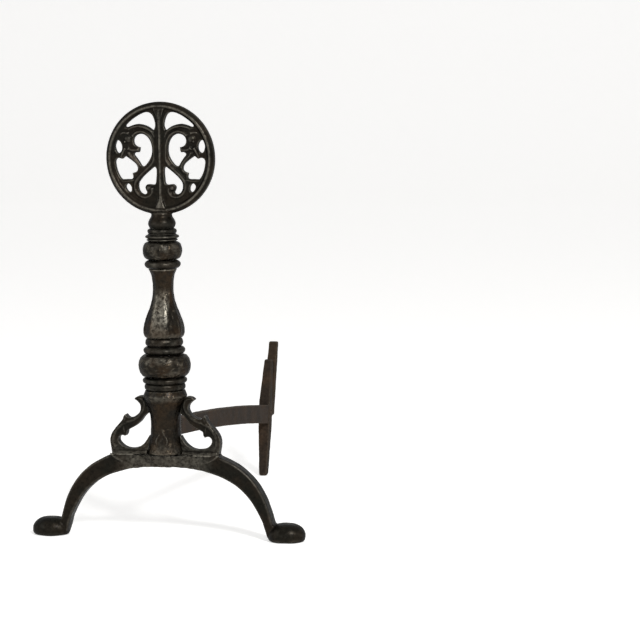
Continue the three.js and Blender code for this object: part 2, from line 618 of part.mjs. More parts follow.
/**
 * Openings of the right half of the tracery, drawn for an opening radius of 66.5 about the roundel's
 * centre. Between them stay the spine, the beast's neck, head, beak, strut and curled tail.
 */
const TRACERY_DRAWN_RADIUS = 66.5;
const TRACERY_OPENINGS = [
	// above the neck
	[
		[[8.6, 38.2], [6.4, 43.5], [6.9, 50], [9.1, 57], [13, 61.6], [20, 62.8], [29.5, 59.4], [38.8, 53.7],
			[46, 47.6], [48.8, 44.4], [47.5, 42.6], [44, 43.4], [38.5, 45.5], [31, 47.2], [22.5, 45.7],
			[14.5, 41.2], [8.6, 38.2]],
	],
	// inside the neck's curve, round the beak
	[
		[[28.3, 15.2], [32.3, 16], [36.5, 19.2], [37.3, 25.8], [33.8, 31.2], [26.5, 33.2], [20.5, 31.6],
			[15.5, 27], [12.3, 20], [11.3, 12], [12.2, 4], [16, -3.5], [20.5, -9], [23.8, -11], [26.8, -10],
			[28.8, -6.5], [33, -0.5], [37.6, 5.2]],
		[[37.6, 5.2], [34.8, 8], [29.8, 7.6]],
		[[29.8, 7.6], [28.3, 15.2]],
	],
	// between head and rim
	[
		[[59.9, 24.8], [63.5, 23], [64.2, 16], [62, 9], [59, 7.2], [55.6, 9.5], [54, 15.5], [56, 22], [59.9, 24.8]],
	],
	// below the head, out to the rim
	[
		[[49.2, 3.1], [54, -1.2]],
		[[54, -1.2], [58, 0], [62, -0.5], [64, -4], [63.6, -10], [61.6, -18], [58, -25.5], [55, -28.9]],
		[[55, -28.9], [47.5, -28.5], [41, -28.5], [38.8, -25.8], [40.3, -19.7]],
		[[40.3, -19.7], [36.5, -19.3], [32.9, -16.9], [32.2, -12.9], [34.6, -8], [39.5, -3.8], [44.8, 0], [49.2, 3.1]],
	],
	// between spine and curled tail
	[
		[[8, -11.4], [12, -14.5], [20, -21], [26.2, -26.5], [30.7, -32.2], [31.8, -38.8], [29.8, -45.5], [25, -49.2],
			[20.8, -48.8], [19.2, -46.6]],
		[[19.2, -46.6], [21.6, -42.3], [21.5, -38.2], [18, -35.4], [11.5, -36], [7.2, -35.3], [6, -27.5],
			[5.4, -15], [8, -11.4]],
	],
	// small drop between tail and rim
	[
		[[46.8, -34.4], [50, -38], [48.5, -43], [44.8, -46.4], [41.8, -45], [41.6, -40.5], [43.6, -36.3],
			[46.8, -34.4]],
	],
];

/** The pierced plate inside the rim, in X and Y of its own plane. */
function traceryShape() {
	const scale = ROUNDEL_OPENING_RADIUS / TRACERY_DRAWN_RADIUS;
	const overlap = (ROUNDEL_CREST_RADIUS - ROUNDEL_OPENING_RADIUS) / 2;
	const round = new THREE.EllipseCurve(0, 0, ROUNDEL_OPENING_RADIUS + overlap, ROUNDEL_OPENING_RADIUS + overlap);
	const shape = new THREE.Shape(round.getPoints(RIM_SIDES));
	for (const side of [-1, 1]) {
		for (const runs of TRACERY_OPENINGS) {
			const placed = runs.map((run) => run.map(([u, v]) => [side * u * scale, v * scale]));
			shape.holes.push(new THREE.Path(outlinePoints(placed)));
		}
	}
	return shape;
}

/** The rim, turned round the roundel's own level axis. */
function rimGeometry() {
	const [inner, crest, outer] = [ROUNDEL_OPENING_RADIUS, ROUNDEL_CREST_RADIUS, ROUNDEL_RADIUS];
	const face = ROUNDEL_RIM_DEPTH / 2;
	const back = TRACERY_DEPTH / 2;
	const edge = ROUNDEL_RIM_EDGE / 2;
	const profile = [
		[inner, -back], [crest, -face], [outer, -edge], [outer, edge], [crest, face], [inner, back], [inner, -back],
	];
	return new THREE.LatheGeometry(profile.map(([radius, y]) => new THREE.Vector2(radius, y)), RIM_SIDES);
}

/** Rim, tracery and stem as one casting, its stem's foot at Z = 0 and bored for the tie rod. */
function finialGeometry() {
	const bore = clearRadius(BORE_RADIUS, RING_SIDES);
	const boreTop = ROD_ENGAGEMENT + ROD_CLEARANCE;
	const stem = turned([
		[0, boreTop], [bore, boreTop], [bore, 0], [STEM_FOOT_RADIUS, 0],
		[STEM_BULB_RADIUS, STEM_LENGTH * 0.38],
		[STEM_BULB_RADIUS * 0.93, STEM_LENGTH * 0.6],
		[STEM_NECK_RADIUS, STEM_LENGTH * 0.88],
		[STEM_NECK_RADIUS, STEM_LENGTH + ROUNDEL_RIM_WIDTH * 0.18],
		[STEM_NECK_RADIUS * 0.7, STEM_LENGTH + ROUNDEL_RIM_WIDTH * 0.42],
		[0, STEM_LENGTH + ROUNDEL_RIM_WIDTH * 0.5],
	]);
	const centre = STEM_LENGTH + ROUNDEL_RADIUS;
	const rim = rimGeometry().translate(0, 0, centre);
	const tracery = frontPlate(traceryShape(), TRACERY_DEPTH).translate(0, 0, centre);
	return geometryOf(solidOf(rim).add(solidOf(tracery)).add(solidOf(stem)));
}

// ---------------------------------------------------------------- tie rod, nut and washer

function tieRodGeometry(stemFoot) {
	return upright(ROD_RADIUS, NUT_BASE - ROD_PROTRUSION, stemFoot + ROD_ENGAGEMENT);
}

/** A flat ring on the tie rod, with the given number of outer sides. */
function rodRing(outerRadius, sides, base, thickness) {
	const bore = clearRadius(ROD_RADIUS + JOINT_GAP, HOLE_SIDES);
	const outer = upright(outerRadius, base, base + thickness, sides);
	const hole = upright(bore, base - thickness, base + 2 * thickness);
	return geometryOf(solidOf(outer).subtract(solidOf(hole)));
}

// ---------------------------------------------------------------- billet bar, rear leg and tail

/** Share of the way from the bar's level end to the rear leg, at a distance behind the axis. */
function barShare(y) {
	return (y - BAR_LEVEL_LENGTH) / (LEG_RIVET_Y - BAR_LEVEL_LENGTH);
}

/** Height of the bar's top at a distance behind the axis. */
function barTop(y) {
	const t = barShare(y);
	return BAR_FRONT_TOP + (BAR_REAR_TOP - BAR_FRONT_TOP) * t + 4 * BAR_CROWN * t * (1 - t);
}

/** Height of the bar's underside, which falls faster because the bar gets taller to the rear. */
function barBottom(y) {
	return barTop(y) - BAR_FRONT_HEIGHT - (BAR_REAR_HEIGHT - BAR_FRONT_HEIGHT) * barShare(y);
}

/** A piece drawn upright and then leaned back, each height in proportion. */
function leaned(geometry) {
	return geometry.applyMatrix4(new THREE.Matrix4().makeShear(0, 0, 0, 0, 0, REAR_LEAN));
}

/** The bar: an eye on the tie rod, a level end, a long low curve and a tenon at the back. */
function billetBarGeometry() {
	const end = LEG_FRONT - JOINT_GAP;
	const far = LEG_RIVET_Y + LEG_THICKNESS;
	const run = Array.from({ length: BAR_STEPS + 1 }, (_, i) => (
		BAR_LEVEL_LENGTH + (far - BAR_LEVEL_LENGTH) * i / BAR_STEPS
	));
	const shape = new THREE.Shape();
	shape.moveTo(0, BAR_FRONT_BOTTOM);
	for (const y of run) shape.lineTo(y, barBottom(y));
	for (const y of run.slice().reverse()) shape.lineTo(y, barTop(y));
	shape.lineTo(0, BAR_FRONT_TOP);
	shape.lineTo(0, BAR_FRONT_BOTTOM);
	const beyond = leaned(boxBetween(-BAR_WIDTH, BAR_WIDTH, end, end + far, 0, 2 * BAR_REAR_TOP));
	const tenon = leaned(boxBetween(
		-TENON_WIDTH / 2, TENON_WIDTH / 2,
		end - TENON_WIDTH, LEG_BACK + TENON_IN_TAIL,
		TENON_AXIS - TENON_HEIGHT / 2, TENON_AXIS + TENON_HEIGHT / 2,
	));
	const eye = upright(BAR_WIDTH / 2, BAR_FRONT_BOTTOM, BAR_FRONT_TOP, HOLE_SIDES);
	const bore = clearRadius(BORE_RADIUS, HOLE_SIDES);
	let solid = solidOf(sidePlate(shape, BAR_WIDTH)).subtract(solidOf(beyond));
	solid = solid.add(solidOf(eye)).add(solidOf(tenon));
	solid = solid.subtract(solidOf(upright(bore, 0, 2 * BAR_FRONT_TOP)));
	for (const y of [LEG_RIVET_Y, TAIL_RIVET_Y]) solid = solid.subtract(rivetHole(y));
	return geometryOf(solid);
}

function rivetGeometry(y, length) {
	return crosswise(RIVET_RADIUS, length, y, TENON_AXIS);
}

function rivetHole(y) {
	const radius = clearRadius(RIVET_RADIUS + SCREW_CLEARANCE, HOLE_SIDES);
	return solidOf(crosswise(radius, 2 * LEG_WIDTH, y, TENON_AXIS));
}

/** The slot that takes the bar's tenon, from the leg's front to past the tenon's end. */
function tenonSlot() {
	return solidOf(leaned(boxBetween(
		-TENON_WIDTH / 2 - FIT, TENON_WIDTH / 2 + FIT,
		LEG_FRONT - LEG_THICKNESS, LEG_BACK + TENON_IN_TAIL + FIT,
		TENON_AXIS - TENON_HEIGHT / 2 - FIT, TENON_AXIS + TENON_HEIGHT / 2 + FIT,
	)));
}

/** The rear leg: tapered to its foot, full at the bar and drawn to a log stop above. */
function rearLegGeometry() {
	const full = { width: LEG_WIDTH, y: BAR_REACH, thickness: LEG_THICKNESS };
	const foot = { width: LEG_FOOT_WIDTH, y: BAR_REACH, thickness: LEG_FOOT_THICKNESS };
	const tip = { width: LEG_TIP_WIDTH, y: BAR_REACH + LEG_TIP_SETBACK, thickness: LEG_TIP_THICKNESS };
	const shape = leaned(stackedBlocks([
		{ z: 0, ...foot, width: LEG_FOOT_WIDTH * LEG_SOLE_SHARE, thickness: LEG_FOOT_THICKNESS * LEG_SOLE_SHARE },
		{ z: LEG_SOLE_RISE, ...foot },
		{ z: BAR_REAR_BOTTOM - LEG_SHOULDER, ...full },
		{ z: BAR_REAR_TOP + LEG_SHOULDER, ...full },
		{ z: LEG_HEIGHT, ...tip },
	]));
	return geometryOf(solidOf(shape).subtract(tenonSlot()).subtract(rivetHole(LEG_RIVET_Y)));
}

/** The tail: a heel behind the leg that sweeps up in a hollow curve to the tall stop. */
function tailStopGeometry() {
	const back = (z) => {
		const t = (z - TAIL_UNDERSIDE) / (TAIL_HEIGHT - TAIL_UNDERSIDE);
		return BAR_REACH + TAIL_HEEL_REACH + (TAIL_TOP_REACH - TAIL_HEEL_REACH) * t;
	};
	const thickness = TAIL_TOP_THICKNESS + TAIL_LEDGE;
	const blockFoot = TAIL_HEIGHT - TAIL_BLOCK_HEIGHT;
	const ledgeFoot = blockFoot - TAIL_LEDGE_HEIGHT;
	const shape = new THREE.Shape();
	shape.moveTo(TAIL_FRONT, BAR_REAR_BOTTOM);
	shape.lineTo(back(TAIL_UNDERSIDE) - TAIL_HEEL_LENGTH, TAIL_UNDERSIDE);
	shape.lineTo(back(TAIL_UNDERSIDE), TAIL_UNDERSIDE);
	shape.lineTo(back(TAIL_HEIGHT), TAIL_HEIGHT);
	shape.lineTo(back(TAIL_HEIGHT) - TAIL_TOP_THICKNESS, TAIL_HEIGHT);
	shape.lineTo(back(blockFoot) - TAIL_TOP_THICKNESS, blockFoot);
	shape.lineTo(back(ledgeFoot) - thickness, ledgeFoot);
	shape.lineTo(back(TAIL_SWEEP_TOP) - thickness, TAIL_SWEEP_TOP);
	shape.quadraticCurveTo(
		back(BAR_REAR_TOP) - thickness, BAR_REAR_TOP,
		TAIL_FRONT + TAIL_ROOT_LENGTH, TAIL_ROOT_TOP - TAIL_ROOT_SLOPE,
	);
	shape.lineTo(TAIL_FRONT, TAIL_ROOT_TOP);
	shape.lineTo(TAIL_FRONT, BAR_REAR_BOTTOM);
	const plate = leaned(sidePlate(shape, TAIL_WIDTH, TAIL_CURVE_STEPS));
	return geometryOf(solidOf(plate).subtract(tenonSlot()).subtract(rivetHole(TAIL_RIVET_Y)));
}

// ---------------------------------------------------------------- assembly

const andiron = new THREE.Group();

function addPiece(name, geometry, material, z = 0) {
	const mesh = new THREE.Mesh(geometry, material.clone());
	mesh.name = name;
	mesh.position.set(0, -MID_DEPTH, z);
	andiron.add(mesh);
}

addPiece('leg_arch', legArchGeometry(), patinatedIron);
addPiece('pedestal', pedestalGeometry(), hammeredIron);
for (const [label, side] of [['left', -1], ['right', 1]]) {
	addPiece(`bracket_${label}`, bracketGeometry(side), patinatedIron);
	addPiece(`bracket_screw_${label}`, screwGeometry(side), darkSteel);
}

let level = PEDESTAL_TOP + JOINT_GAP;
for (const { name, profile, finish = patinatedIron, sides = RING_SIDES } of COLUMN_PIECES) {
	const turn = sides === VASE_SIDES ? Math.PI / VASE_SIDES : 0;
	addPiece(name, columnTurning(profile, sides, turn), finish, level);
	level += profile[profile.length - 1][1] + JOINT_GAP;
}
addPiece('finial_roundel', finialGeometry(), patinatedIron, level);

addPiece('tie_rod', tieRodGeometry(level), darkSteel);
addPiece('tie_washer', rodRing(WASHER_RADIUS, POCKET_SIDES, WASHER_BASE, WASHER_THICKNESS), darkSteel);
addPiece('tie_nut', rodRing(clearRadius(NUT_ACROSS_FLATS / 2, 6), 6, NUT_BASE, NUT_HEIGHT), darkSteel);

addPiece('billet_bar', billetBarGeometry(), forgedIron);
addPiece('rear_leg', rearLegGeometry(), forgedIron);
addPiece('tail_stop', tailStopGeometry(), forgedIron);
addPiece('leg_rivet', rivetGeometry(LEG_RIVET_Y, LEG_WIDTH), forgedIron);
addPiece('tail_rivet', rivetGeometry(TAIL_RIVET_Y, TAIL_WIDTH), forgedIron);

export default andiron;
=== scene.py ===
"""Cast-iron andiron with a pierced roundel finial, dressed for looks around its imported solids.

Lengths in the dataclasses are millimetres from the column's axis on the floor: X to the right, Y back
into the fireplace, Z up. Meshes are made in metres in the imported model's own frame.
"""

import logging
import math
from collections.abc import Callable, Iterable, Sequence
from dataclasses import dataclass
from enum import Enum

import bmesh
import bpy
from mathutils import Matrix, Vector, noise
from mathutils.geometry import interpolate_bezier

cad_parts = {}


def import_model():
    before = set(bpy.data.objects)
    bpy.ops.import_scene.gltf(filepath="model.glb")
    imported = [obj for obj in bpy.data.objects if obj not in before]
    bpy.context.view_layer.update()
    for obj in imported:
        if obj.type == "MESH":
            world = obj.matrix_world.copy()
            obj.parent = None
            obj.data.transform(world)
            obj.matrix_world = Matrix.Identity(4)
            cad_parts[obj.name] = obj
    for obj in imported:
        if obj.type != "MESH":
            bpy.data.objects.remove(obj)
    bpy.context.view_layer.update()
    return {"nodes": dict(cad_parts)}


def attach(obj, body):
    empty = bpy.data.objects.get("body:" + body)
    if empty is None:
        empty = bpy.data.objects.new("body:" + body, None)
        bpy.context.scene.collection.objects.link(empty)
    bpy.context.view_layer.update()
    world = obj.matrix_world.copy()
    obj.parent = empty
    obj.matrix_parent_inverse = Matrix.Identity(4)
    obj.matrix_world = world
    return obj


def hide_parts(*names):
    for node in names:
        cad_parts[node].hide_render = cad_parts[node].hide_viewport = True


LOG = logging.getLogger("andiron")
MM = 0.001
COLUMN_Y_MM = -287.49  # the column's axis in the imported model's frame
TO_FRAME = Matrix.Translation((0, COLUMN_Y_MM * MM, 0)) @ Matrix.Scale(MM, 4)
JOINT_GAP = 0.2  # seams of the column's stack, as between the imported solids
BORE_RADIUS = 5.33  # the tie rod's hole through the column, over the corners of its facets

PAINTED_HIGHLIGHT = "painted_highlight"  # vertex attribute: how strongly a place takes a painted highlight, from nought to one

Point2 = tuple[float, float]
Point3 = tuple[float, float, float]
Run = tuple[Point3, ...]  # X, Z and half-width along a raised line of the relief


class Surface(Enum):
    """How the iron of a piece was left, by the record's material slot."""

    PATINATED = "patinated_iron"
    HAMMERED = "hammered_iron"
    FORGED = "forged_iron"
    BLACKENED = "dark_steel"


# ---------------------------------------------------------------- materials


def linear(hex_colour: str) -> tuple[float, float, float, float]:
    """Turns an sRGB hex colour to linear.

    Args:
        hex_colour: Six hex digits after a hash sign.

    Returns:
        Linear red, green, blue and an alpha of one.
    """
    parts = [int(hex_colour[i:i + 2], 16) / 255 for i in (1, 3, 5)]
    r, g, b = ((c / 12.92) if c <= 0.04045 else ((c + 0.055) / 1.055) ** 2.4 for c in parts)
    return (r, g, b, 1.0)


def add_node(
    tree: bpy.types.NodeTree, kind: str, inputs: dict | None = None, **settings: object,
) -> bpy.types.Node:
    """Adds a node, sets its properties and fills its inputs.

    Args:
        tree: The material's node tree.
        kind: Blender's name of the node type.
        inputs: Values or output sockets, by input name or index.
        **settings: Properties of the node.

    Returns:
        The new node.
    """
    made = tree.nodes.new(kind)
    for key, value in settings.items():
        setattr(made, key, value)
    for key, value in (inputs or {}).items():
        if isinstance(value, bpy.types.NodeSocket):
            tree.links.new(value, made.inputs[key])
        else:
            made.inputs[key].default_value = value
    return made


def per_metre(size_mm: float) -> float:
    """Texture scale at which one feature of a noise is about this many millimetres wide."""
    return 1000 / size_mm


@dataclass(frozen=True)
class IronFinish:
    """Old iron: an oxide ground, patches of another tone, oxide and painted shade in hollows, crests rubbed to
    bare metal with a painted highlight, and painted highlights where the vertex attribute puts them.
    """

    surface: Surface
    ground: str
    patches: str
    # colour of crests rubbed to bare metal, also laid on as a painted highlight
    crest_wear_and_highlight: str
    # colour of the hollows: oxide gathered there, darkened further as painted shade
    hollow_oxide_and_shade: str
    metallic: float
    roughness: tuple[float, float]
    # how far the crests take that colour, as bare metal and painted highlight
    crest_wear_and_highlight_share: float
    patch_mm: float = 34.0  # thick and thin places of the old oxide
    mottle_mm: float = 5.0  # spots where handling has broken through it
    grain_mm: float = 1.6  # sand-cast grain is about 0.5 mm; coarser so that it shows
    grain_height_mm: float = 0.12
    dent_mm: float = 9.0  # facets left by the hammer, or the waves of a sand-cast skin
    dent_height_mm: float = 0.0
    wax: float = 0.0
    wax_roughness: float = 0.3
    sheen_level: float = 0.18  # oxide and wax reflect less than clean metal
    edge_tint: str = "#474138"

    def material(self) -> bpy.types.Material:
        """Builds the node material.

        Returns:
            The material, named for its surface.
        """
        made = bpy.data.materials.new(self.surface.value)
        made.use_nodes = True
        tree = made.node_tree
        tree.nodes.clear()
        place = add_node(tree, "ShaderNodeTexCoord").outputs["Object"]
        patch = add_node(tree, "ShaderNodeTexNoise", {
            "Vector": place, "Scale": per_metre(self.patch_mm), "Detail": 5.0, "Roughness": 0.6,
        }).outputs["Fac"]
        mottle = add_node(tree, "ShaderNodeTexNoise", {
            "Vector": place, "Scale": per_metre(self.mottle_mm), "Detail": 4.0, "Roughness": 0.65,
        }).outputs["Fac"]
        grain = add_node(tree, "ShaderNodeTexNoise", {
            "Vector": place, "Scale": per_metre(self.grain_mm), "Detail": 2.0,
        }).outputs["Fac"]
        pointed = add_node(tree, "ShaderNodeNewGeometry").outputs["Pointiness"]
        patch_share = add_node(tree, "ShaderNodeMapRange", {
            "Value": patch, "From Min": 0.42, "From Max": 0.62,
        }).outputs[0]
        tone = add_node(tree, "ShaderNodeMix", {
            0: patch_share, 6: linear(self.ground), 7: linear(self.patches),
        }, data_type="RGBA").outputs[2]
        mottled = add_node(tree, "ShaderNodeMapRange", {
            "Value": mottle, "From Min": 0.3, "From Max": 0.7, "To Min": 0.62, "To Max": 1.4,
        }).outputs[0]
        tone = add_node(tree, "ShaderNodeVectorMath", {0: tone, "Scale": mottled}, operation="SCALE").outputs[0]
        # painted shade, with the oxide gathered there: concave places (low pointiness) darkened toward the
        # hollow colour
        hollow_darkening = add_node(tree, "ShaderNodeMapRange", {
            "Value": pointed, "From Min": 0.488, "From Max": 0.43, "To Max": 0.85,
        }).outputs[0]
        tone = add_node(tree, "ShaderNodeMix", {
            0: hollow_darkening, 6: tone, 7: linear(self.hollow_oxide_and_shade),
        }, data_type="RGBA").outputs[2]
        # bare metal and painted highlight: convex places (high pointiness) lightened toward the crest colour,
        # broken up by the mottle
        crest = add_node(tree, "ShaderNodeMapRange", {
            "Value": pointed, "From Min": 0.507, "From Max": 0.56, "To Max": self.crest_wear_and_highlight_share,
        }).outputs[0]
        rubbed_and_highlit = add_node(tree, "ShaderNodeMath", {0: crest, 1: mottled}, operation="MULTIPLY").outputs[0]
        tone = add_node(tree, "ShaderNodeMix", {
            0: rubbed_and_highlit, 6: tone, 7: linear(self.crest_wear_and_highlight),
        }, data_type="RGBA").outputs[2]
        # painted highlight: places given by the vertex attribute are lightened toward the crest colour, broken
        # up by the mottle
        highlighting = add_node(tree, "ShaderNodeAttribute", attribute_name=PAINTED_HIGHLIGHT).outputs["Fac"]
        flecks = add_node(tree, "ShaderNodeMapRange", {
            "Value": mottle, "From Min": 0.36, "From Max": 0.62, "To Min": 0.1,
        }).outputs[0]
        highlight_mix = add_node(tree, "ShaderNodeMath", {0: highlighting, 1: flecks}, operation="MULTIPLY").outputs[0]
        tone = add_node(tree, "ShaderNodeMix", {
            0: highlight_mix, 6: tone, 7: linear(self.crest_wear_and_highlight),
        }, data_type="RGBA").outputs[2]
        rough = add_node(tree, "ShaderNodeMapRange", {
            "Value": mottle, "From Min": 0.3, "From Max": 0.7,
            "To Min": self.roughness[0], "To Max": self.roughness[1],
        }).outputs[0]
        normal = add_node(tree, "ShaderNodeBump", {
            "Height": grain, "Strength": 1.0, "Distance": self.grain_height_mm * MM,
        }).outputs[0]
        if self.dent_height_mm:
            dents = add_node(tree, "ShaderNodeTexNoise", {
                "Vector": place, "Scale": per_metre(self.dent_mm), "Detail": 2.5, "Roughness": 0.45,
                "Distortion": 0.8,
            }).outputs["Fac"]
            normal = add_node(tree, "ShaderNodeBump", {
                "Height": dents, "Strength": 1.0, "Distance": self.dent_height_mm * MM, "Normal": normal,
            }).outputs[0]
        shader = add_node(tree, "ShaderNodeBsdfPrincipled", {
            "Base Color": tone, "Roughness": rough, "Normal": normal, "Metallic": self.metallic,
            "Specular IOR Level": self.sheen_level, "Specular Tint": linear(self.edge_tint),
            "Coat Weight": self.wax, "Coat Roughness": self.wax_roughness,
        })
        add_node(tree, "ShaderNodeOutputMaterial", {"Surface": shader.outputs[0]})
        return made


# Iron sand casting under an old waxed brown patina: darkened in its hollows by oxide and painted shade, satin
# and warm on its crests as bare metal with a painted highlight
PATINATED_IRON = IronFinish(
    Surface.PATINATED, ground="#161511", patches="#1f1a14", crest_wear_and_highlight="#847f74", hollow_oxide_and_shade="#060605",
    metallic=0.65, roughness=(0.24, 0.42), crest_wear_and_highlight_share=0.5, dent_mm=11.0, dent_height_mm=1.2, wax=0.06,
)
# The same iron chased with hammer and chisel: small facets that catch the light one by one
HAMMERED_IRON = IronFinish(
    Surface.HAMMERED, ground="#1b1813", patches="#2a2015", crest_wear_and_highlight="#8a8579", hollow_oxide_and_shade="#070605",
    metallic=0.75, roughness=(0.2, 0.36), crest_wear_and_highlight_share=0.4, dent_mm=7.0, dent_height_mm=2.0, wax=0.1,
)
# Wrought bar that has lain in the fire: matte brown oxide that hardly shines, a little paler on its crests,
# where bare metal carries a painted highlight
FORGED_IRON = IronFinish(
    Surface.FORGED, ground="#2d2722", patches="#3a2f26", crest_wear_and_highlight="#6b6053", hollow_oxide_and_shade="#120f0b",
    metallic=0.25, roughness=(0.6, 0.85), crest_wear_and_highlight_share=0.45, mottle_mm=3.5, grain_height_mm=0.25,
    dent_mm=22.0, dent_height_mm=0.5,
)
# Oil-blackened steel of the fasteners
BLACKENED_STEEL = IronFinish(
    Surface.BLACKENED, ground="#1d1c1c", patches="#25211d", crest_wear_and_highlight="#5a5854", hollow_oxide_and_shade="#0d0c0c",
    metallic=0.7, roughness=(0.4, 0.6), crest_wear_and_highlight_share=0.4, patch_mm=12.0, mottle_mm=2.5, grain_height_mm=0.05,
)


class Finishes:
    """The andiron's finishes, each built once."""

    def __init__(self) -> None:
        """Builds every finish."""
        kinds = (PATINATED_IRON, HAMMERED_IRON, FORGED_IRON, BLACKENED_STEEL)
        self.made = {finish.surface: finish.material() for finish in kinds}

    def dress(self, piece: bpy.types.Object, surface: Surface) -> None:
        """Gives a piece its material and slot.

        Args:
            piece: A new piece or a carried-over solid.
            surface: The finish it takes.
        """
        if piece.material_slots:
            for material_slot in piece.material_slots:
                material_slot.material = self.made[surface]
        else:
            piece.data.materials.append(self.made[surface])


# ---------------------------------------------------------------- shaping


def clamped(value: float) -> float:
    """The value, kept between nought and one."""
    return min(1.0, max(0.0, value))


def spun(
    profile: Sequence[Point2], steps: int, axis: Point3 = (0, 0, 1), centre: Point3 = (0, 0, 0),
    closed: bool = True,
) -> bmesh.types.BMesh:
    """Spins a profile of radii and heights about an axis.

    Args:
        profile: Radius and height of each point.
        steps: Number of segments round the axis.
        axis: (0, 0, 1) for an upright axis, (0, 1, 0) for a level one.
        centre: Where the axis stands.
        closed: Whether the profile's end joins its start.

    Returns:
        The turned mesh, in millimetres.
    """
    bm = bmesh.new()
    upright = axis[2] == 1
    verts = [bm.verts.new((r, 0, h) if upright else (r, h, 0)) for r, h in profile]
    edges = [bm.edges.new(pair) for pair in zip(verts, verts[1:])]
    if closed:
        edges.append(bm.edges.new((verts[-1], verts[0])))
    bmesh.ops.spin(
        bm, geom=verts + edges, cent=(0, 0, 0), axis=axis, dvec=(0, 0, 0), angle=math.tau,
        steps=steps, use_merge=True, use_normal_flip=False, use_duplicate=False,
    )
    bmesh.ops.remove_doubles(bm, verts=bm.verts, dist=1e-4)
    # The spin leaves its faces in an order that differs from run to run, so they are sorted by their corners
    bm.verts.index_update()
    count = len(bm.verts)
    bm.faces.sort(key=lambda face: min(v.index for v in face.verts) * count + max(v.index for v in face.verts))
    bmesh.ops.recalc_face_normals(bm, faces=bm.faces)
    bmesh.ops.translate(bm, verts=bm.verts, vec=centre)
    return bm


def plate(outline: Sequence[Point2], depth: float, edge: float) -> bmesh.types.BMesh:
    """A plate drawn in X and Z, centred on Y = 0, with rounded edges.

    Args:
        outline: The closed outline.
        depth: Size along Y.
        edge: Radius of the rounded edges.

    Returns:
        The plate, in millimetres.
    """
    bm = bmesh.new()
    face = bm.faces.new([bm.verts.new((x, -depth / 2, z)) for x, z in outline])
    grown = bmesh.ops.extrude_face_region(bm, geom=[face])["geom"]
    moved = [item for item in grown if isinstance(item, bmesh.types.BMVert)]
    bmesh.ops.translate(bm, verts=moved, vec=(0, depth, 0))
    bmesh.ops.recalc_face_normals(bm, faces=bm.faces)
    level = [e for e in bm.edges if abs(e.verts[0].co.y - e.verts[1].co.y) < 1e-6]
    bmesh.ops.bevel(bm, geom=level, offset=edge, affect="EDGES", segments=4, profile=0.5, material=-1)
    return bm


def through(points: Sequence[Sequence[float]], steps: int = 6) -> list[Vector]:
    """A smooth run through points of any length, by Catmull and Rom's rule.

    Args:
        points: The points that the run passes.
        steps: New points from one to the next.

    Returns:
        The points of the run.
    """
    given = [Vector(p) for p in points]
    ends = [2 * given[0] - given[1], *given, 2 * given[-1] - given[-2]]
    run = []
    for a, b, c, d in zip(ends, ends[1:], ends[2:], ends[3:]):
        for i in range(steps):
            t = i / steps
            bend, twist = 2 * a - 5 * b + 4 * c - d, 3 * b - a - 3 * c + d
            run.append(0.5 * (2 * b + (c - a) * t + bend * t**2 + twist * t**3))
    return [*run, given[-1]]


def rope(points: Sequence[Point3], deep: float, y: float = 0.0) -> bmesh.types.BMesh:
    """A raised line of the relief: an oval rod along a run in X and Z.

    Args:
        points: X, Z and half-width at each point.
        deep: Half-depth along Y, as a multiple of the half-width.
        y: Where the run lies along Y.

    Returns:
        The rod, in millimetres.
    """
    run = through(points)
    curve = bpy.data.curves.new("run", "CURVE")
    curve.dimensions = "3D"
    curve.bevel_depth = 1.0  # so that each point's radius is its half-width
    curve.bevel_resolution = 3
    curve.use_fill_caps = True
    spline = curve.splines.new("POLY")
    spline.points.add(len(run) - 1)
    for point, (x, z, half) in zip(spline.points, run):
        point.co = (x, 0, z, 1)
        point.radius = half
    holder = bpy.data.objects.new("run", curve)
    mesh = bpy.data.meshes.new_from_object(holder)
    bm = bmesh.new()
    bm.from_mesh(mesh)
    bpy.data.objects.remove(holder)
    bpy.data.curves.remove(curve)
    bpy.data.meshes.remove(mesh)
    bmesh.ops.scale(bm, verts=bm.verts, vec=(1, deep, 1))
    bmesh.ops.translate(bm, verts=bm.verts, vec=(0, y, 0))
    return bm


def ball(x: float, z: float, radius: float, half_depth: float) -> bmesh.types.BMesh:
    """A rounded boss of the relief, oval along Y.

    Args:
        x: Its place along X.
        z: Its place along Z.
        radius: Radius in X and Z.
        half_depth: Half-depth along Y.

    Returns:
        The boss, in millimetres.
    """
    bm = bmesh.new()
    bmesh.ops.create_icosphere(bm, subdivisions=3, radius=radius)
    bmesh.ops.scale(bm, verts=bm.verts, vec=(1, half_depth / radius, 1))
    bmesh.ops.translate(bm, verts=bm.verts, vec=(x, 0, z))
    return bm


def mirrored(bm: bmesh.types.BMesh) -> bmesh.types.BMesh:
    """Makes the same mesh on the other side of X = 0.

    Args:
        bm: The mesh; it stays as it is.

    Returns:
        The mirrored copy, its faces turned outwards again.
    """
    other = bm.copy()
    bmesh.ops.scale(other, verts=other.verts, vec=(-1, 1, 1))
    bmesh.ops.reverse_faces(other, faces=other.faces)
    return other


def of_solid(node: bpy.types.Object) -> bmesh.types.BMesh:
    """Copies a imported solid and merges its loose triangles.

    Args:
        node: The solid; it stays as it is.

    Returns:
        The copy, in millimetres from the column's axis.
    """
    bm = bmesh.new()
    bm.from_mesh(node.data)
    bm.transform(TO_FRAME.inverted())
    bmesh.ops.remove_doubles(bm, verts=bm.verts, dist=1e-3)
    return bm


def joined(parts: Iterable[bmesh.types.BMesh]) -> bmesh.types.BMesh:
    """Puts all the parts in one mesh.

    Args:
        parts: The parts; they are freed.

    Returns:
        The mesh that takes their place.
    """
    whole = bmesh.new()
    for part in parts:
        mesh = bpy.data.meshes.new("part")
        part.to_mesh(mesh)
        part.free()
        whole.from_mesh(mesh)
        bpy.data.meshes.remove(mesh)
    return whole


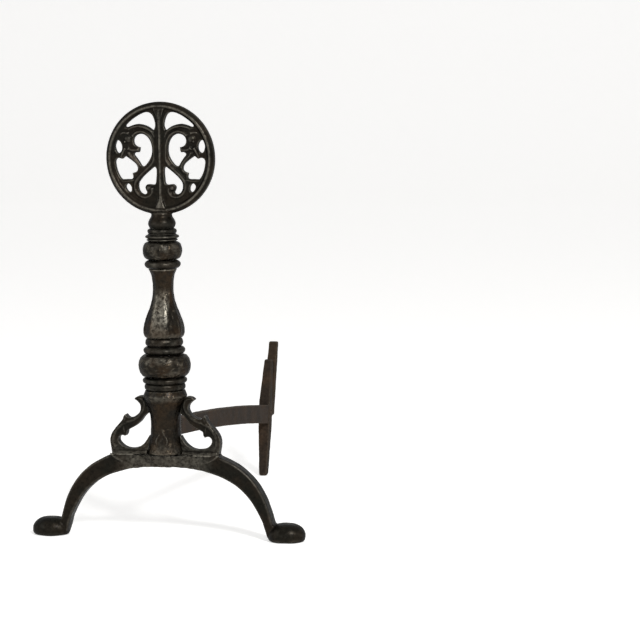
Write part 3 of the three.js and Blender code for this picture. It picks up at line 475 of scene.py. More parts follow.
def object_of(name: str, bm: bmesh.types.BMesh) -> bpy.types.Object:
    """Makes a mesh object in the scene.

    Args:
        name: Name of the object and of its mesh.
        bm: The mesh; it is freed.

    Returns:
        The object, at the origin.
    """
    mesh = bpy.data.meshes.new(name)
    bm.to_mesh(mesh)
    bm.free()
    made = bpy.data.objects.new(name, mesh)
    bpy.context.scene.collection.objects.link(made)
    return made


def finished(holders: Sequence[bpy.types.Object]) -> bmesh.types.BMesh:
    """Takes the first holder's mesh as its modifiers leave it.

    Args:
        holders: The object with the modifiers and those that they use; all are removed.

    Returns:
        The mesh, in the holder's units.
    """
    bpy.context.view_layer.update()
    left = bpy.data.meshes.new_from_object(holders[0].evaluated_get(bpy.context.evaluated_depsgraph_get()))
    made = bmesh.new()
    made.from_mesh(left)
    bpy.data.meshes.remove(left)
    for holder in holders:
        mesh = holder.data
        bpy.data.objects.remove(holder)
        bpy.data.meshes.remove(mesh)
    return made


def fused(bm: bmesh.types.BMesh, voxel: float, smoothing: int) -> bmesh.types.BMesh:
    """Casts overlapping parts into one skin with soft fillets.

    Args:
        bm: The parts, in millimetres; they are freed.
        voxel: Size of the skin's faces.
        smoothing: Rounds of smoothing; more gives softer fillets.

    Returns:
        The skin, in millimetres.
    """
    holder = object_of("cast", bm)
    skin = holder.modifiers.new("skin", "REMESH")
    skin.mode = "VOXEL"
    skin.voxel_size = voxel
    made = finished([holder])
    for _ in range(smoothing):
        bmesh.ops.smooth_vert(
            made, verts=made.verts, factor=0.5, use_axis_x=True, use_axis_y=True, use_axis_z=True,
        )
    return made


def carved(bm: bmesh.types.BMesh, cutter: bmesh.types.BMesh) -> bmesh.types.BMesh:
    """Takes one closed mesh out of another.

    Args:
        bm: The mesh that is cut; it is freed.
        cutter: What is taken out; it is freed.

    Returns:
        What is left.
    """
    body, knife = object_of("body", bm), object_of("cutter", cutter)
    cut = body.modifiers.new("cut", "BOOLEAN")
    cut.operation = "DIFFERENCE"
    cut.solver = "EXACT"
    cut.object = knife
    return finished([body, knife])


def worked(
    bm: bmesh.types.BMesh, depth: float, size: float, strokes: float = 0.0,
    stroke: Point3 = (8.0, 8.0, 3.5), share: Callable[[Vector], float] | None = None,
) -> None:
    """Moves the skin inwards unevenly, as a hand-finished casting or forging is uneven.

    Args:
        bm: The mesh, in millimetres.
        depth: Deepest of the slow waves.
        size: Width of a wave.
        strokes: Depth of the chisel's and hammer's strokes.
        stroke: Size of one stroke along X, Y and Z.
        share: How much of the strokes each place takes, from nought to one.
    """
    bm.normal_update()
    moved = []
    for vert in bm.verts:
        inward = depth * clamped(0.5 + 0.5 * noise.noise(vert.co / size))
        if strokes:
            local = Vector(c / s for c, s in zip(vert.co, stroke))
            cut = 0.5 + 0.6 * noise.noise(local) + 0.3 * noise.noise(local * 2.1)  # large marks with small ones
            inward += strokes * clamped(cut) * (share(vert.co) if share else 1.0)
        moved.append(vert.co - vert.normal * inward)
    for vert, place in zip(bm.verts, moved):
        vert.co = place


def piece_from(name: str, bm: bmesh.types.BMesh) -> bpy.types.Object:
    """Makes a finished piece from a mesh in millimetres.

    Args:
        name: The piece's name.
        bm: Its mesh, from the column's axis; it is freed.

    Returns:
        The piece, at the frame's origin.
    """
    bm.transform(TO_FRAME)
    bmesh.ops.recalc_face_normals(bm, faces=bm.faces)
    made = object_of(name, bm)
    made.data.shade_smooth()
    return made


@dataclass
class Workshop:
    """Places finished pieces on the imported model."""

    nodes: dict[str, bpy.types.Object]
    finishes: Finishes

    def install(
        self, bm: bmesh.types.BMesh, node: str, surface: Surface,
        painted_highlight: Callable[[Vector], float] | None = None,
    ) -> None:
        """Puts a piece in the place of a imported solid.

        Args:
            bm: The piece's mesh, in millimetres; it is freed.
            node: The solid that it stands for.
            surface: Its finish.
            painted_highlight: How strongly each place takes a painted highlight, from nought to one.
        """
        # the painted highlight is stored per vertex for the material to read
        rubbed_and_highlit = [painted_highlight(vert.co) if painted_highlight else 0.0 for vert in bm.verts]
        piece = piece_from(f"{node}_cast", bm)
        piece.data.attributes.new(PAINTED_HIGHLIGHT, "FLOAT", "POINT").data.foreach_set("value", rubbed_and_highlit)
        self.finishes.dress(piece, surface)
        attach(piece, "root")
        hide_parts(node)
        LOG.info("%s: %d faces", piece.name, len(piece.data.polygons))


# ---------------------------------------------------------------- arch and feet


@dataclass
class ArchCasting:
    """The arch on two feet that carries the column."""

    clear_height: float = 101.0
    crown_height: float = 128.8
    seat_height: float = 120.0
    depth: float = 24.0
    ankle_inner: float = 139.6
    ankle_outer: float = 154.6
    ankle_height: float = 27.0
    inner_curve: tuple[float, float, float] = (0.875, 0.486, 0.737)  # low reach, low rise, high reach
    outer_curve: tuple[float, float, float] = (0.911, 0.58, 0.706)
    foot_centre: float = 172.0
    foot_half: Point2 = (27.5, 23.0)
    foot_height: float = 26.0
    edge: float = 3.2
    band_bottom: float = 6.0  # the band runs down into the foot, and its sides lean out there by this much
    lean_out: Point2 = (8.0, 6.0)
    skirt: tuple[Point2, ...] = ((16.5, 101.0), (17.6, 105), (20, 110), (23, 115), (26, 119.6))
    skirt_widening: float = 1.7  # the skirt is oval, this much wider than deep
    curl: Run = ((-79.5, 121, 1.6), (-75.5, 117.2, 2.2), (-70, 113.2, 2.2), (-63, 110, 1.7), (-54, 107.8, 1.0))
    face_inset: float = 0.4  # the curl's middle and the squared face lie this far behind the drawn face
    seat_plate: tuple[float, float, float] = (78.0, 104.0, 119.8)  # half-length, bottom and top
    seat_plate_thinner: float = 0.6  # than the band
    squared_half: float = 77.0  # the seat's corner is squared this far out from the axis,
    squared_down: float = 2.2  # this far down from the seat
    squared_in: float = 2.0  # and this far in from the band's face
    seat_band: float = 1.4  # what lies this near the seat is brought level
    seat_drop: float = 0.1  # at this far below it
    chased_half: float = 72.0  # the chasing on the crown ends here
    chased_fade: float = 26.0  # and fades over this much before it
    # strength of the painted highlight on the chased crown
    crown_highlight: float = 0.26

    def half_curve(self, reach: float, crown: float, shares: tuple[float, float, float]) -> list[Point2]:
        """One side of the band, from the crown down to the ankle.

        Args:
            reach: Axis to the ankle's side.
            crown: Height of the curve over the axis.
            shares: Low handle's reach, its rise, and the high handle's reach.

        Returns:
            X and Z of each point.
        """
        low_reach, low_rise, high_reach = shares
        run = interpolate_bezier(
            Vector((0, crown)), Vector((reach * high_reach, crown)),
            Vector((reach * low_reach, self.ankle_height + (crown - self.ankle_height) * low_rise)),
            Vector((reach, self.ankle_height)), 40,
        )
        return [(p.x, p.y) for p in run]

    def outline(self) -> list[Point2]:
        """Draws the band from foot to foot, with its top cut flat at the seat.

        Returns:
            X and Z of each point.
        """
        outer = self.half_curve(self.ankle_outer, self.crown_height, self.outer_curve)
        inner = self.half_curve(self.ankle_inner, self.clear_height, self.inner_curve)
        right = [(x, min(z, self.seat_height)) for x, z in outer]
        right.append((self.ankle_outer + self.lean_out[0], self.band_bottom))
        right.append((self.ankle_inner + self.lean_out[1], self.band_bottom))
        right += reversed(inner)
        left = [(-x, z) for x, z in reversed(right) if x > 1e-6]
        return [*right, *left]

    def foot(self) -> bmesh.types.BMesh:
        """Makes the right-hand foot: a flat sole under a pad with a nearly flat top.

        Returns:
            The foot, in millimetres.
        """
        shape = [  # as shares of the foot's half-widths and of its height
            (0, 0), (0.88, 0), (0.97, 0.12), (1, 0.32), (0.985, 0.5), (0.9, 0.67), (0.78, 0.8), (0.6, 0.92),
            (0.38, 0.985), (0, 1),
        ]
        profile = [shape[0], *through(shape[1:], 4)]
        bm = spun([(r, h) for r, h in profile], steps=64, closed=False)
        bmesh.ops.scale(bm, verts=bm.verts, vec=(*self.foot_half, self.foot_height))
        bmesh.ops.translate(bm, verts=bm.verts, vec=(self.foot_centre, 0, 0))
        return bm

    def ankle(self) -> bmesh.types.BMesh:
        """The swelling where the right-hand leg runs into its foot."""
        return rope([(143.8, 36.0, 7.4), (147.1, 27.0, 7.5), (149.8, 18.0, 8.2), (153.5, 10.5, 9.0)], deep=1.4)

    def square(self, vert: bmesh.types.BMVert) -> None:
        """Brings a point of the softened edge back to the seat and the band's face, where the toes stand.

        Args:
            vert: A point near the seat's edge.
        """
        if abs(vert.co.x) >= self.squared_half or vert.co.z <= self.seat_height - self.squared_down:
            return
        face = self.depth / 2 - self.face_inset
        if face - self.squared_in < abs(vert.co.y) < face:
            vert.co.y = math.copysign(face, vert.co.y)
        if vert.co.z > self.seat_height - self.seat_band:
            vert.co.z = self.seat_height - self.seat_drop

    def crown_share(self, place: Vector) -> float:
        """Full strokes on the chased crown below the pedestal, none on the legs."""
        return clamped((self.chased_half - abs(place.x)) / self.chased_fade)

    def painted_highlight(self, place: Vector) -> float:
        """A painted highlight on the chased crown, fading out before the legs."""
        return self.crown_highlight * self.crown_share(place)

    def build(self, workshop: Workshop) -> None:
        """Casts the arch and puts it in place.

        Args:
            workshop: Where the piece goes.
        """
        ends = (0, self.skirt[0][1]), (0, self.skirt[-1][1])
        skirt = spun([ends[0], *self.skirt, ends[1]], steps=96, closed=False)
        bmesh.ops.scale(skirt, verts=skirt.verts, vec=(self.skirt_widening, 1, 1))
        curl = rope(self.curl, deep=1.2, y=-self.depth / 2 + self.face_inset)
        half, bottom, top = self.seat_plate
        seat = [(-half, bottom), (half, bottom), (half, top), (-half, top)]
        parts = [plate(self.outline(), self.depth, self.edge)]
        parts += [plate(seat, self.depth - self.seat_plate_thinner, edge=0.8), skirt, curl, mirrored(curl)]
        for made in (self.foot(), self.ankle()):
            parts += [mirrored(made), made]
        skin = fused(joined(parts), voxel=1.15, smoothing=5)
        worked(skin, depth=0.5, size=16, strokes=0.4, stroke=(16.0, 16.0, 12.0))
        worked(skin, depth=0.0, size=16, strokes=1.3, stroke=(9.0, 9.0, 5.5), share=self.crown_share)
        for vert in skin.verts:
            vert.co.z = max(vert.co.z, 0.0)
            self.square(vert)
        workshop.install(skin, "leg_arch", Surface.PATINATED, self.painted_highlight)


# ---------------------------------------------------------------- column


@dataclass
class Turning:
    """One turned piece of the column, over its own height, and how its skin is left."""

    node: str
    outer: list[Point2]
    surface: Surface = Surface.PATINATED
    depth: float = 0.25
    strokes: float = 0.0
    reshape: Callable[[bmesh.types.BMesh, float], None] | None = None
    # painted highlight of each place, from nought to one
    painted_highlight: Callable[[Vector], float] | None = None


def bead(
    foot: float, crest: float, top: float, height: float, crest_at: float = 0.5, fullness: float = 0.8,
    groove: float = 0.0,
) -> list[Point2]:
    """Profile of a ring: a rounded crest between a foot and a top radius.

    Args:
        foot: Radius at the bottom.
        crest: Largest radius.
        top: Radius at the top.
        height: Height of the ring.
        crest_at: Where the crest lies, as a share of the height.
        fullness: Under one for a full cushion, over one for a lean ring between wide grooves.
        groove: How much deeper the seams are cut than the two end radii.

    Returns:
        Radius and height of each point.
    """
    profile = []
    steps = 22  # from the crest to each end
    for i in range(-steps, steps + 1):
        angle = math.pi / 2 * i / steps
        end, rise = (foot - groove, crest_at) if angle < 0 else (top - groove, 1 - crest_at)
        out = end + (crest - end) * max(0.0, math.cos(angle)) ** fullness
        profile.append((out, height * (crest_at + rise * math.sin(angle))))
    return profile


def filleted_bead(foot: float, crest: float, top: float, height: float) -> list[Point2]:
    """Profile of a sharp ring over a small fillet, between deep grooves.

    Args:
        foot: Radius at the bottom.
        crest: Largest radius.
        top: Radius at the top.
        height: Height of the ring.

    Returns:
        Radius and height of each point.
    """
    fillet = foot + (crest - foot) * 0.5
    points = [
        (foot - 0.4, 0), (fillet, 0.12), (fillet, 0.25), (foot + 0.8, 0.34), (crest - 0.9, 0.46), (crest, 0.6),
        (crest - 0.8, 0.74), (top + 0.7, 0.88), (top - 0.2, 1),
    ]
    return [(r, share * height) for r, share in through(points, 5)]


@dataclass
class Column:
    """Pedestal, rings, knops and faceted vase, stacked on the tie rod."""

    base: float = 120.2
    pedestal_height: float = 90.2
    vase_height: float = 97.3
    vase_belly: float = 30.6
    vase_neck: float = 15.3
    vase_foot: float = 24.4
    vase_lip: float = 20.8
    belly_share: float = 0.1
    neck_share: float = 0.73
    waist_share: float = 0.46  # the pedestal's waist and its cap's widest place, over its height
    cap_share: float = 0.91
    waist_radius: float = 21.5
    foot_flare: float = 5.0
    cap_swell: float = 10.2
    cap_drawn_in: float = 3.4
    leaf_face: float = -22.0  # where the leaf's lines lie, at the front of the waist
    leaf: tuple[Run, ...] = (
        ((1, 131, 0.8), (7, 136, 1.5), (7.5, 143, 1.5), (3, 150, 1.3), (0.5, 158, 0.6)),
        ((-3, 132, 0.8), (-8, 137, 1.4), (-7, 144, 1.5), (-3, 149.5, 1.0)),
        ((-5, 136, 0.7), (0, 141, 1.5), (3, 146, 0.7)),
        ((-2, 133.5, 0.6), (3, 137.5, 1.3), (5, 141, 0.6)),
    )
    mortise: Point3 = (17.0, 71.9, 25.6)  # slot for the bar, open at the back
    mortise_centre: Point3 = (0, 27.45, 153.0)
    flat_share: float = math.cos(math.pi / 8)  # middle of a flat over its corner
    corner_share: float = 0.968  # a softened corner over the drawn one
    flame: Point3 = (4, 4, 17)  # size of one lick of the vase's chasing
    flame_depth: float = 0.03  # as a share of the radius
    highlight_rise: float = 110.0  # pedestal's top to the middle of the vase's flats with the painted highlight
    highlight_half: Point2 = (12.5, 34)  # their half-width and half-height
    # strength of the vase's painted highlight
    rubbed_and_highlit: float = 0.62

    def pedestal_profile(self) -> list[Point2]:
        """Draws the pedestal's waist under its rounded cap.

        Returns:
            Radius and height of each point, from the pedestal's foot.
        """
        points, steps = [], 60
        for i in range(steps + 1):
            t = i / steps
            if t < self.waist_share:
                radius = self.waist_radius + self.foot_flare * (1 - t / self.waist_share) ** 2.2
            elif t <= self.cap_share:
                over_waist = (t - self.waist_share) / (self.cap_share - self.waist_share)
                radius = self.waist_radius + self.cap_swell * over_waist ** 2.2
            else:
                over_cap = (t - self.cap_share) / (1 - self.cap_share)
                radius = self.waist_radius + self.cap_swell - self.cap_drawn_in * over_cap ** 0.8
            points.append((radius, self.pedestal_height * t))
        return points

    def pedestal(self, workshop: Workshop) -> None:
        """Casts the pedestal with its chased leaf and the mortise for the bar.

        Args:
            workshop: Where the piece goes.
        """
        profile = [(BORE_RADIUS, 0), *self.pedestal_profile(), (BORE_RADIUS, self.pedestal_height)]
        body = spun(profile, steps=128)
        bmesh.ops.translate(body, verts=body.verts, vec=(0, 0, self.base))
        marks = [rope(run, deep=1.0, y=self.leaf_face) for run in self.leaf]
        skin = fused(joined([body, *marks]), voxel=0.95, smoothing=5)
        cutter = bmesh.new()
        bmesh.ops.create_cube(cutter, size=1)
        bmesh.ops.scale(cutter, verts=cutter.verts, vec=self.mortise)
        bmesh.ops.translate(cutter, verts=cutter.verts, vec=self.mortise_centre)
        skin = carved(skin, cutter)
        worked(skin, depth=0.35, size=11, strokes=0.5, stroke=(6.5, 6.5, 8.0))
        workshop.install(skin, "pedestal", Surface.HAMMERED, self.pedestal_highlight)

    def pedestal_highlight(self, place: Vector) -> float:
        """A painted highlight at the foot and on the cap's shoulder, none between them.

        Args:
            place: A place on the pedestal.

        Returns:
            How strongly it takes the painted highlight, from nought to one.
        """
        rubbed_and_highlit, foot_end, shoulder, shoulder_half = 0.2, 0.22, 0.88, 0.07
        share = (place.z - self.base) / self.pedestal_height
        low = max(0.0, 1 - share / foot_end)
        high = max(0.0, 1 - abs(share - shoulder) / shoulder_half)
        return rubbed_and_highlit * low + rubbed_and_highlit * high

    def vase_highlight(self, place: Vector) -> float:
        """A painted highlight on the two flats that face the room and the fire, from the belly to mid-height.

        Args:
            place: A place on the vase.

        Returns:
            How strongly it takes the painted highlight, from nought to one.
        """
        half_width, half_height = self.highlight_half
        middle = self.base + self.pedestal_height + self.highlight_rise
        along = max(0.0, 1 - ((place.z - middle) / half_height) ** 2)
        return self.rubbed_and_highlit * along * max(0.0, 1 - (place.x / half_width) ** 4)

    @staticmethod
    def knop_highlight(place: Vector) -> float:
        """Patches of painted highlight, about 13 mm across, all round a knop."""
        return 0.28 * clamped(0.2 + 1.5 * noise.noise(place / 13))

    @staticmethod
    def ring_highlight(place: Vector) -> float:
        """A little painted highlight on every ring, in patches of about 9 mm."""
        return 0.16 * clamped(0.4 + 1.2 * noise.noise(place / 9))

    def vase_profile(self) -> list[Point2]:
        """Draws the vase: a low belly drawn in to a long neck and flared to its lip.

        Returns:
            Radius and height of each point, from the vase's foot.
        """
        rise = self.neck_share - self.belly_share
        swell = self.vase_belly - self.vase_foot
        shares = ((-0.15, 0.0), (0.3, 0.1), (0.6, 0.3), (0.82, 0.55), (0.95, 0.8))
        points = [(self.vase_foot + swell * out, self.belly_share * up) for out, up in shares]
        for i in range(31):
            t = i / 30
            draw = (0.5 + 0.5 * math.cos(math.pi * t)) ** 1.25
            radius = self.vase_neck + (self.vase_belly - self.vase_neck) * draw
            points.append((radius, self.belly_share + rise * t))
        for i in range(1, 10):
            radius = self.vase_neck + (self.vase_lip - self.vase_neck) * (i / 10) ** 2.4
            points.append((radius, self.neck_share + (1 - self.neck_share) * i / 10))
        points += [(self.vase_lip - 0.6, 0.988), (self.vase_lip - 1.4, 1.0)]
        return [(radius, share * self.vase_height) for radius, share in points]

    def facet(self, bm: bmesh.types.BMesh, bottom: float) -> None:
        """Draws the round vase in to eight flats with soft corners, and chases its belly.

        Args:
            bm: The vase, in millimetres.
            bottom: Height of its foot above the floor.
        """
        for vert in bm.verts:
            radius = math.hypot(vert.co.x, vert.co.y)
            if radius < BORE_RADIUS + 1:
                continue
            share = (vert.co.z - bottom) / self.vase_height
            off_flat = (math.atan2(vert.co.y, vert.co.x) + math.pi / 8) % (math.pi / 4) - math.pi / 8
            flat = min(self.flat_share / math.cos(off_flat), self.corner_share)
            strength = clamped(share / 0.1) * clamped((1 - share) / 0.08)  # round at the foot and the lip
            scale = 1 + (flat - 1) * strength
            lick = noise.noise(Vector(c / size for c, size in zip(vert.co, self.flame)))
            chased = strength * max(0.0, 1 - abs(share - 0.3) / 0.5)  # deepest over the belly
            scale -= self.flame_depth * chased * (0.5 + 0.5 * lick)
            vert.co.x *= scale
            vert.co.y *= scale

    def turnings(self) -> list[Turning]:
        """Lists everything between the pedestal and the finial.

        Returns:
            The turned pieces, from the bottom up.
        """
        lower_knop = bead(26.6, 37.0, 25.4, 31.8, 0.53, groove=0.8)
        upper_knop = bead(19.4, 27.9, 19.4, 25.6, groove=0.6)
        # the knops take patches of painted highlight
        hammered, highlighting = Surface.HAMMERED, self.knop_highlight
        return [
            Turning("base_ring_lower", bead(27.6, 28.9, 27.8, 8.8, fullness=1.1, groove=1.2)),
            Turning("base_ring_upper", bead(27.8, 31.3, 26.6, 9.0, fullness=1.2, groove=0.8)),
            Turning("lower_knop", lower_knop, hammered, 0.3, 0.7, painted_highlight=highlighting),
            Turning("waist_ring_lower", bead(25.4, 29.4, 23.6, 11.2, fullness=1.3, groove=0.8)),
            Turning("waist_ring_upper", bead(23.6, 26.6, 24.4, 10.8, 0.42, 1.1, 0.6)),
            Turning("vase_baluster", self.vase_profile(), hammered, 0.2, 0.5, self.facet, self.vase_highlight),
            Turning("vase_collar", bead(20.8, 25.4, 19.4, 11.9, fullness=1.3, groove=0.8)),
            Turning("upper_knop", upper_knop, hammered, 0.3, 0.55, painted_highlight=highlighting),
            Turning("upper_bead_ring", filleted_bead(19.4, 23.8, 19.6, 10.6)),
            Turning("stem_ring", bead(19.6, 20.6, 17.4, 7.0, fullness=1.2, groove=0.8)),
        ]

    def build(self, workshop: Workshop) -> float:
        """Turns the whole column.

        Args:
            workshop: Where the pieces go.

        Returns:
            Height of the finial's foot above the floor.
        """
        self.pedestal(workshop)
        level = self.base + self.pedestal_height + JOINT_GAP
        for turning in self.turnings():
            height = turning.outer[-1][1]
            bm = spun([(BORE_RADIUS, 0), *turning.outer, (BORE_RADIUS, height)], steps=200)
            bmesh.ops.translate(bm, verts=bm.verts, vec=(0, 0, level))
            if turning.reshape:
                turning.reshape(bm, level)
            worked(bm, turning.depth, size=9, strokes=turning.strokes)
            # rings without their own take the ring's painted highlight
            workshop.install(bm, turning.node, turning.surface, turning.painted_highlight or self.ring_highlight)
            level += height + JOINT_GAP
        return level


# ---------------------------------------------------------------- brackets


@dataclass
class ScrollBrackets:
    """The pair of leafed scrolls between arch and pedestal."""

    waist: float = 21.5
    seat: float = 120.2
    face: float = 7.0
    ridge_inset: float = 1.0  # middle of a ridge behind the face
    toe: Run = (  # out from the axis, up from the seat, half-width of the foot that runs into the arch's face
        (25.5, 1.4, 4.8), (31, 0.8, 4.8), (38, 0.6, 4.8), (50, 0.4, 4.8), (62, 0.4, 4.8), (72, 0.6, 4.7),
        (77.0, 1.2, 4.2),
    )
    ridges: tuple[Run, ...] = (  # the leaf's edge, its curl and the line over the foot, from waist and seat
        ((19, 77.5, 1.4), (12, 77, 2.4), (7.5, 71, 2.6), (9, 62, 2.6), (15.5, 53, 2.8), (24, 47, 3.0),
         (34, 43.5, 3.0), (44, 37, 3.0), (50.5, 29.5, 3.0), (53.4, 21, 3.0), (52.8, 12.5, 2.8), (48, 5.8, 2.2),
         (40, 2.8, 1.6)),
        ((34.5, 53, 1.2), (36.5, 47.5, 2.2), (38.5, 39, 2.4), (37.5, 31, 1.8), (37.2, 26.5, 1.2)),
        ((2, 18, 1.6), (7, 11, 2.0), (14, 6.4, 2.0), (24, 3.8, 1.8), (34, 3.8, 1.6), (42, 6.5, 1.4)),
    )
    # painted highlight low on the brackets: its strength, and the height over which it fades
    rubbed_and_highlit: float = 0.14
    highlight_height: float = 30.0

    def painted_highlight(self, place: Vector) -> float:
        """A little painted highlight low down, where the brackets run into the crown."""
        return self.rubbed_and_highlit * max(0.0, 1 - (place.z - self.seat) / self.highlight_height)

    def build(self, workshop: Workshop) -> None:
        """Casts both brackets on copies of their solids, with the raised lines of the leaf.

        Args:
            workshop: Where the pieces go.
        """
        for node, side in (("bracket_left", -1), ("bracket_right", 1)):
            parts = [of_solid(workshop.nodes[node])]
            for run in self.ridges:
                placed = [(side * (self.waist + u), self.seat + v, half) for u, v, half in run]
                faces = (-self.face + self.ridge_inset, self.face - self.ridge_inset)
                parts += [rope(placed, deep=1.0, y=y) for y in faces]
            placed = [(side * x, self.seat + rise, half) for x, rise, half in self.toe]
            parts += [rope(placed, deep=1.0, y=y) for y in (-self.face, self.face)]
            skin = fused(joined(parts), voxel=0.75, smoothing=5)
            worked(skin, depth=0.25, size=8, strokes=0.35, stroke=(6.0, 6.0, 6.0))
            for vert in skin.verts:
                vert.co.z = max(vert.co.z, self.seat)
            workshop.install(skin, node, Surface.PATINATED, self.painted_highlight)


# ---------------------------------------------------------------- roundel


@dataclass
class Roundel:
    """The pierced disc: rim, spine and on each side a curled beast in relief."""

    radius: float = 78.2
    crest: float = 72.3
    opening: float = 67.2
    drawn_opening: float = 66.5  # opening radius for which the relief is drawn
    rim_half_depth: float = 8.3
    edge_half: float = 3.5
    stem_length: float = 19.0
    stem: tuple[Point2, ...] = (
        (16.6, 0), (18.7, 3.2), (19.4, 7), (18.0, 11.4), (15, 16.4), (14.5, 19.6), (13.0, 23),
    )
    spine: Run = (
        (0, -69, 8.5), (0, -63, 6.0), (0, -55, 3.8), (0, -30, 3.2), (0, 0, 3.2), (0, 35, 3.4), (0, 52, 4.4),
        (0, 61, 6.6), (0, 68, 9.5),
    )
    spine_fullness: float = 2.6  # depth over width, before the rim's own depth limits it
    ropes: tuple[tuple[Run, float], ...] = (  # each line of the relief, and how deep it is for its width
        # outer and inner line of the neck's band
        (((7.5, 29, 2.4), (11, 36.0, 2.9), (17, 40.4, 3.2), (24, 43.0, 3.3), (31, 43.8, 3.3), (38, 42.6, 3.1),
          (44, 39.8, 2.6)), 2.1),
        (((8.6, 4, 2.6), (9.3, 18, 2.8), (13.4, 28.6, 3.1), (19.4, 34.2, 3.3), (26, 36.4, 3.3), (33, 35, 3.2),
          (38.8, 30.2, 3.0)), 2.1),
        # body, tail and volute
        (((8.4, 6, 2.8), (9, -3, 3.2), (13, -9.5, 3.4), (21, -17, 3.6), (29, -25, 3.8), (34.8, -33, 3.8),
          (35.8, -42, 3.6), (31, -50, 3.4), (23, -53.6, 3.4), (15.5, -51.5, 3.3), (11.8, -46, 3.3),
          (13, -41, 3.2)), 1.9),
        # strut from tail to head
        (((30.2, -13, 2.6), (31.5, -8.5, 2.6), (36, -3, 2.8), (41.5, 2, 3.0), (45, 8, 3.2)), 2.0),
        # beak
        (((45, 14, 4.0), (39.5, 11.4, 3.6), (34, 11.2, 3.4), (29.8, 11.6, 3.4)), 1.9),
        # jaw strap and claw
        (((49, 14, 3.2), (53, 7, 3.0), (55.5, 1.5, 2.4)), 2.3),
        # mane
        (((44, 34, 2.8), (51, 35, 2.6), (57, 32, 2.0), (61, 27, 1.4)), 2.2),
        (((44, 40, 2.2), (50, 41.5, 2.0), (56, 39, 1.6)), 2.4),
        # bar from tail to rim
        (((37, -30, 2.6), (45, -31.4, 2.4), (53, -31.6, 2.2), (61, -29.5, 2.0)), 2.2),
        # fin on the tail
        (((33, -24, 2.2), (37, -22, 1.6), (39.6, -20.2, 0.9)), 2.4),
    )
    # heart of the volute, head and eye: X, Z, radius and half-depth
    balls: tuple[tuple[float, float, float, float], ...] = (
        (17.0, -41.0, 4.6, 7.4), (45.5, 26.0, 7.0, 7.2), (49.0, 22.5, 2.4, 8.3),
    )

    def rim(self) -> list[Point2]:
        """Draws the rim's section, a ridge between two slopes.

        Returns:
            Radius and Y of each point, from the front face to the back.
        """
        front = [
            (self.opening, -4), (self.crest - 1.6, -self.rim_half_depth + 0.5),
            (self.crest, -self.rim_half_depth), (self.crest + 1.4, -self.rim_half_depth + 0.7),
            (self.radius - 0.5, -self.edge_half - 0.6), (self.radius, -self.edge_half + 1.2),
        ]
        return front + [(r, -y) for r, y in reversed(front)]

    def relief(self, centre: float) -> list[bmesh.types.BMesh]:
        """Models both beasts and the spine between them.

        Args:
            centre: Height of the disc's middle above the floor.

        Returns:
            The relief's parts, in millimetres.
        """
        parts = []
        for run, deep in self.ropes:
            made = rope(run, deep)
            parts += [made, mirrored(made)]
        for x, z, radius, half_depth in self.balls:
            made = ball(x, z, radius, half_depth)
            parts += [made, mirrored(made)]
        spine = rope(self.spine, deep=1.0)
        for vert in spine.verts:
            vert.co.y = self.rim_half_depth * math.tanh(vert.co.y * self.spine_fullness / self.rim_half_depth)
        parts.append(spine)
        grow = self.opening / self.drawn_opening
        for made in parts:
            bmesh.ops.scale(made, verts=made.verts, vec=(grow, 1, grow))
            bmesh.ops.translate(made, verts=made.verts, vec=(0, 0, centre))
        return parts

    def painted_highlight(self, place: Vector, centre: float) -> float:
        """Paints a highlight on the spine's ridge, the spread of its foot and the ridge of the rim.

        Args:
            place: A place on the roundel.
            centre: Height of the disc's middle above the floor.

        Returns:
            How strongly it takes the painted highlight, from nought to one.
        """
        up = place.z - centre
        ridge = 0.3 * max(0.0, 1 - abs(place.x) / 2.4) * (abs(up) < self.opening)
        down = clamped((-48 - up) / 19) * (up > -self.opening - 2)  # how far down the spine's foot
        spine_foot = 0.5 * min(1.0, 2 * down) * max(0.0, 1 - abs(place.x) / (2.5 + 6 * down))
        rim_ridge = 0.4 * max(0.0, 1 - abs(math.hypot(place.x, up) - self.crest) / 1.6)
        return max(ridge, spine_foot, rim_ridge)

    def build(self, workshop: Workshop, foot: float) -> None:
        """Casts the finial.

        Args:
            workshop: Where the piece goes.
            foot: Height of the stem's foot above the floor.
        """
        centre = foot + self.stem_length + self.radius
        stem = [(r, h) for r, h in through(self.stem, 5)]
        turned = spun([(BORE_RADIUS, 0), *stem, (BORE_RADIUS, self.stem[-1][1])], steps=128)
        bmesh.ops.translate(turned, verts=turned.verts, vec=(0, 0, foot))
        ring = spun(self.rim(), steps=256, axis=(0, 1, 0), centre=(0, 0, centre))
        solid = of_solid(workshop.nodes["finial_roundel"])
        skin = fused(joined([solid, ring, turned, *self.relief(centre)]), voxel=0.85, smoothing=3)
        worked(skin, depth=0.25, size=9)
        workshop.install(skin, "finial_roundel", Surface.PATINATED, lambda place: self.painted_highlight(place, centre))


# ---------------------------------------------------------------- forged parts and fasteners


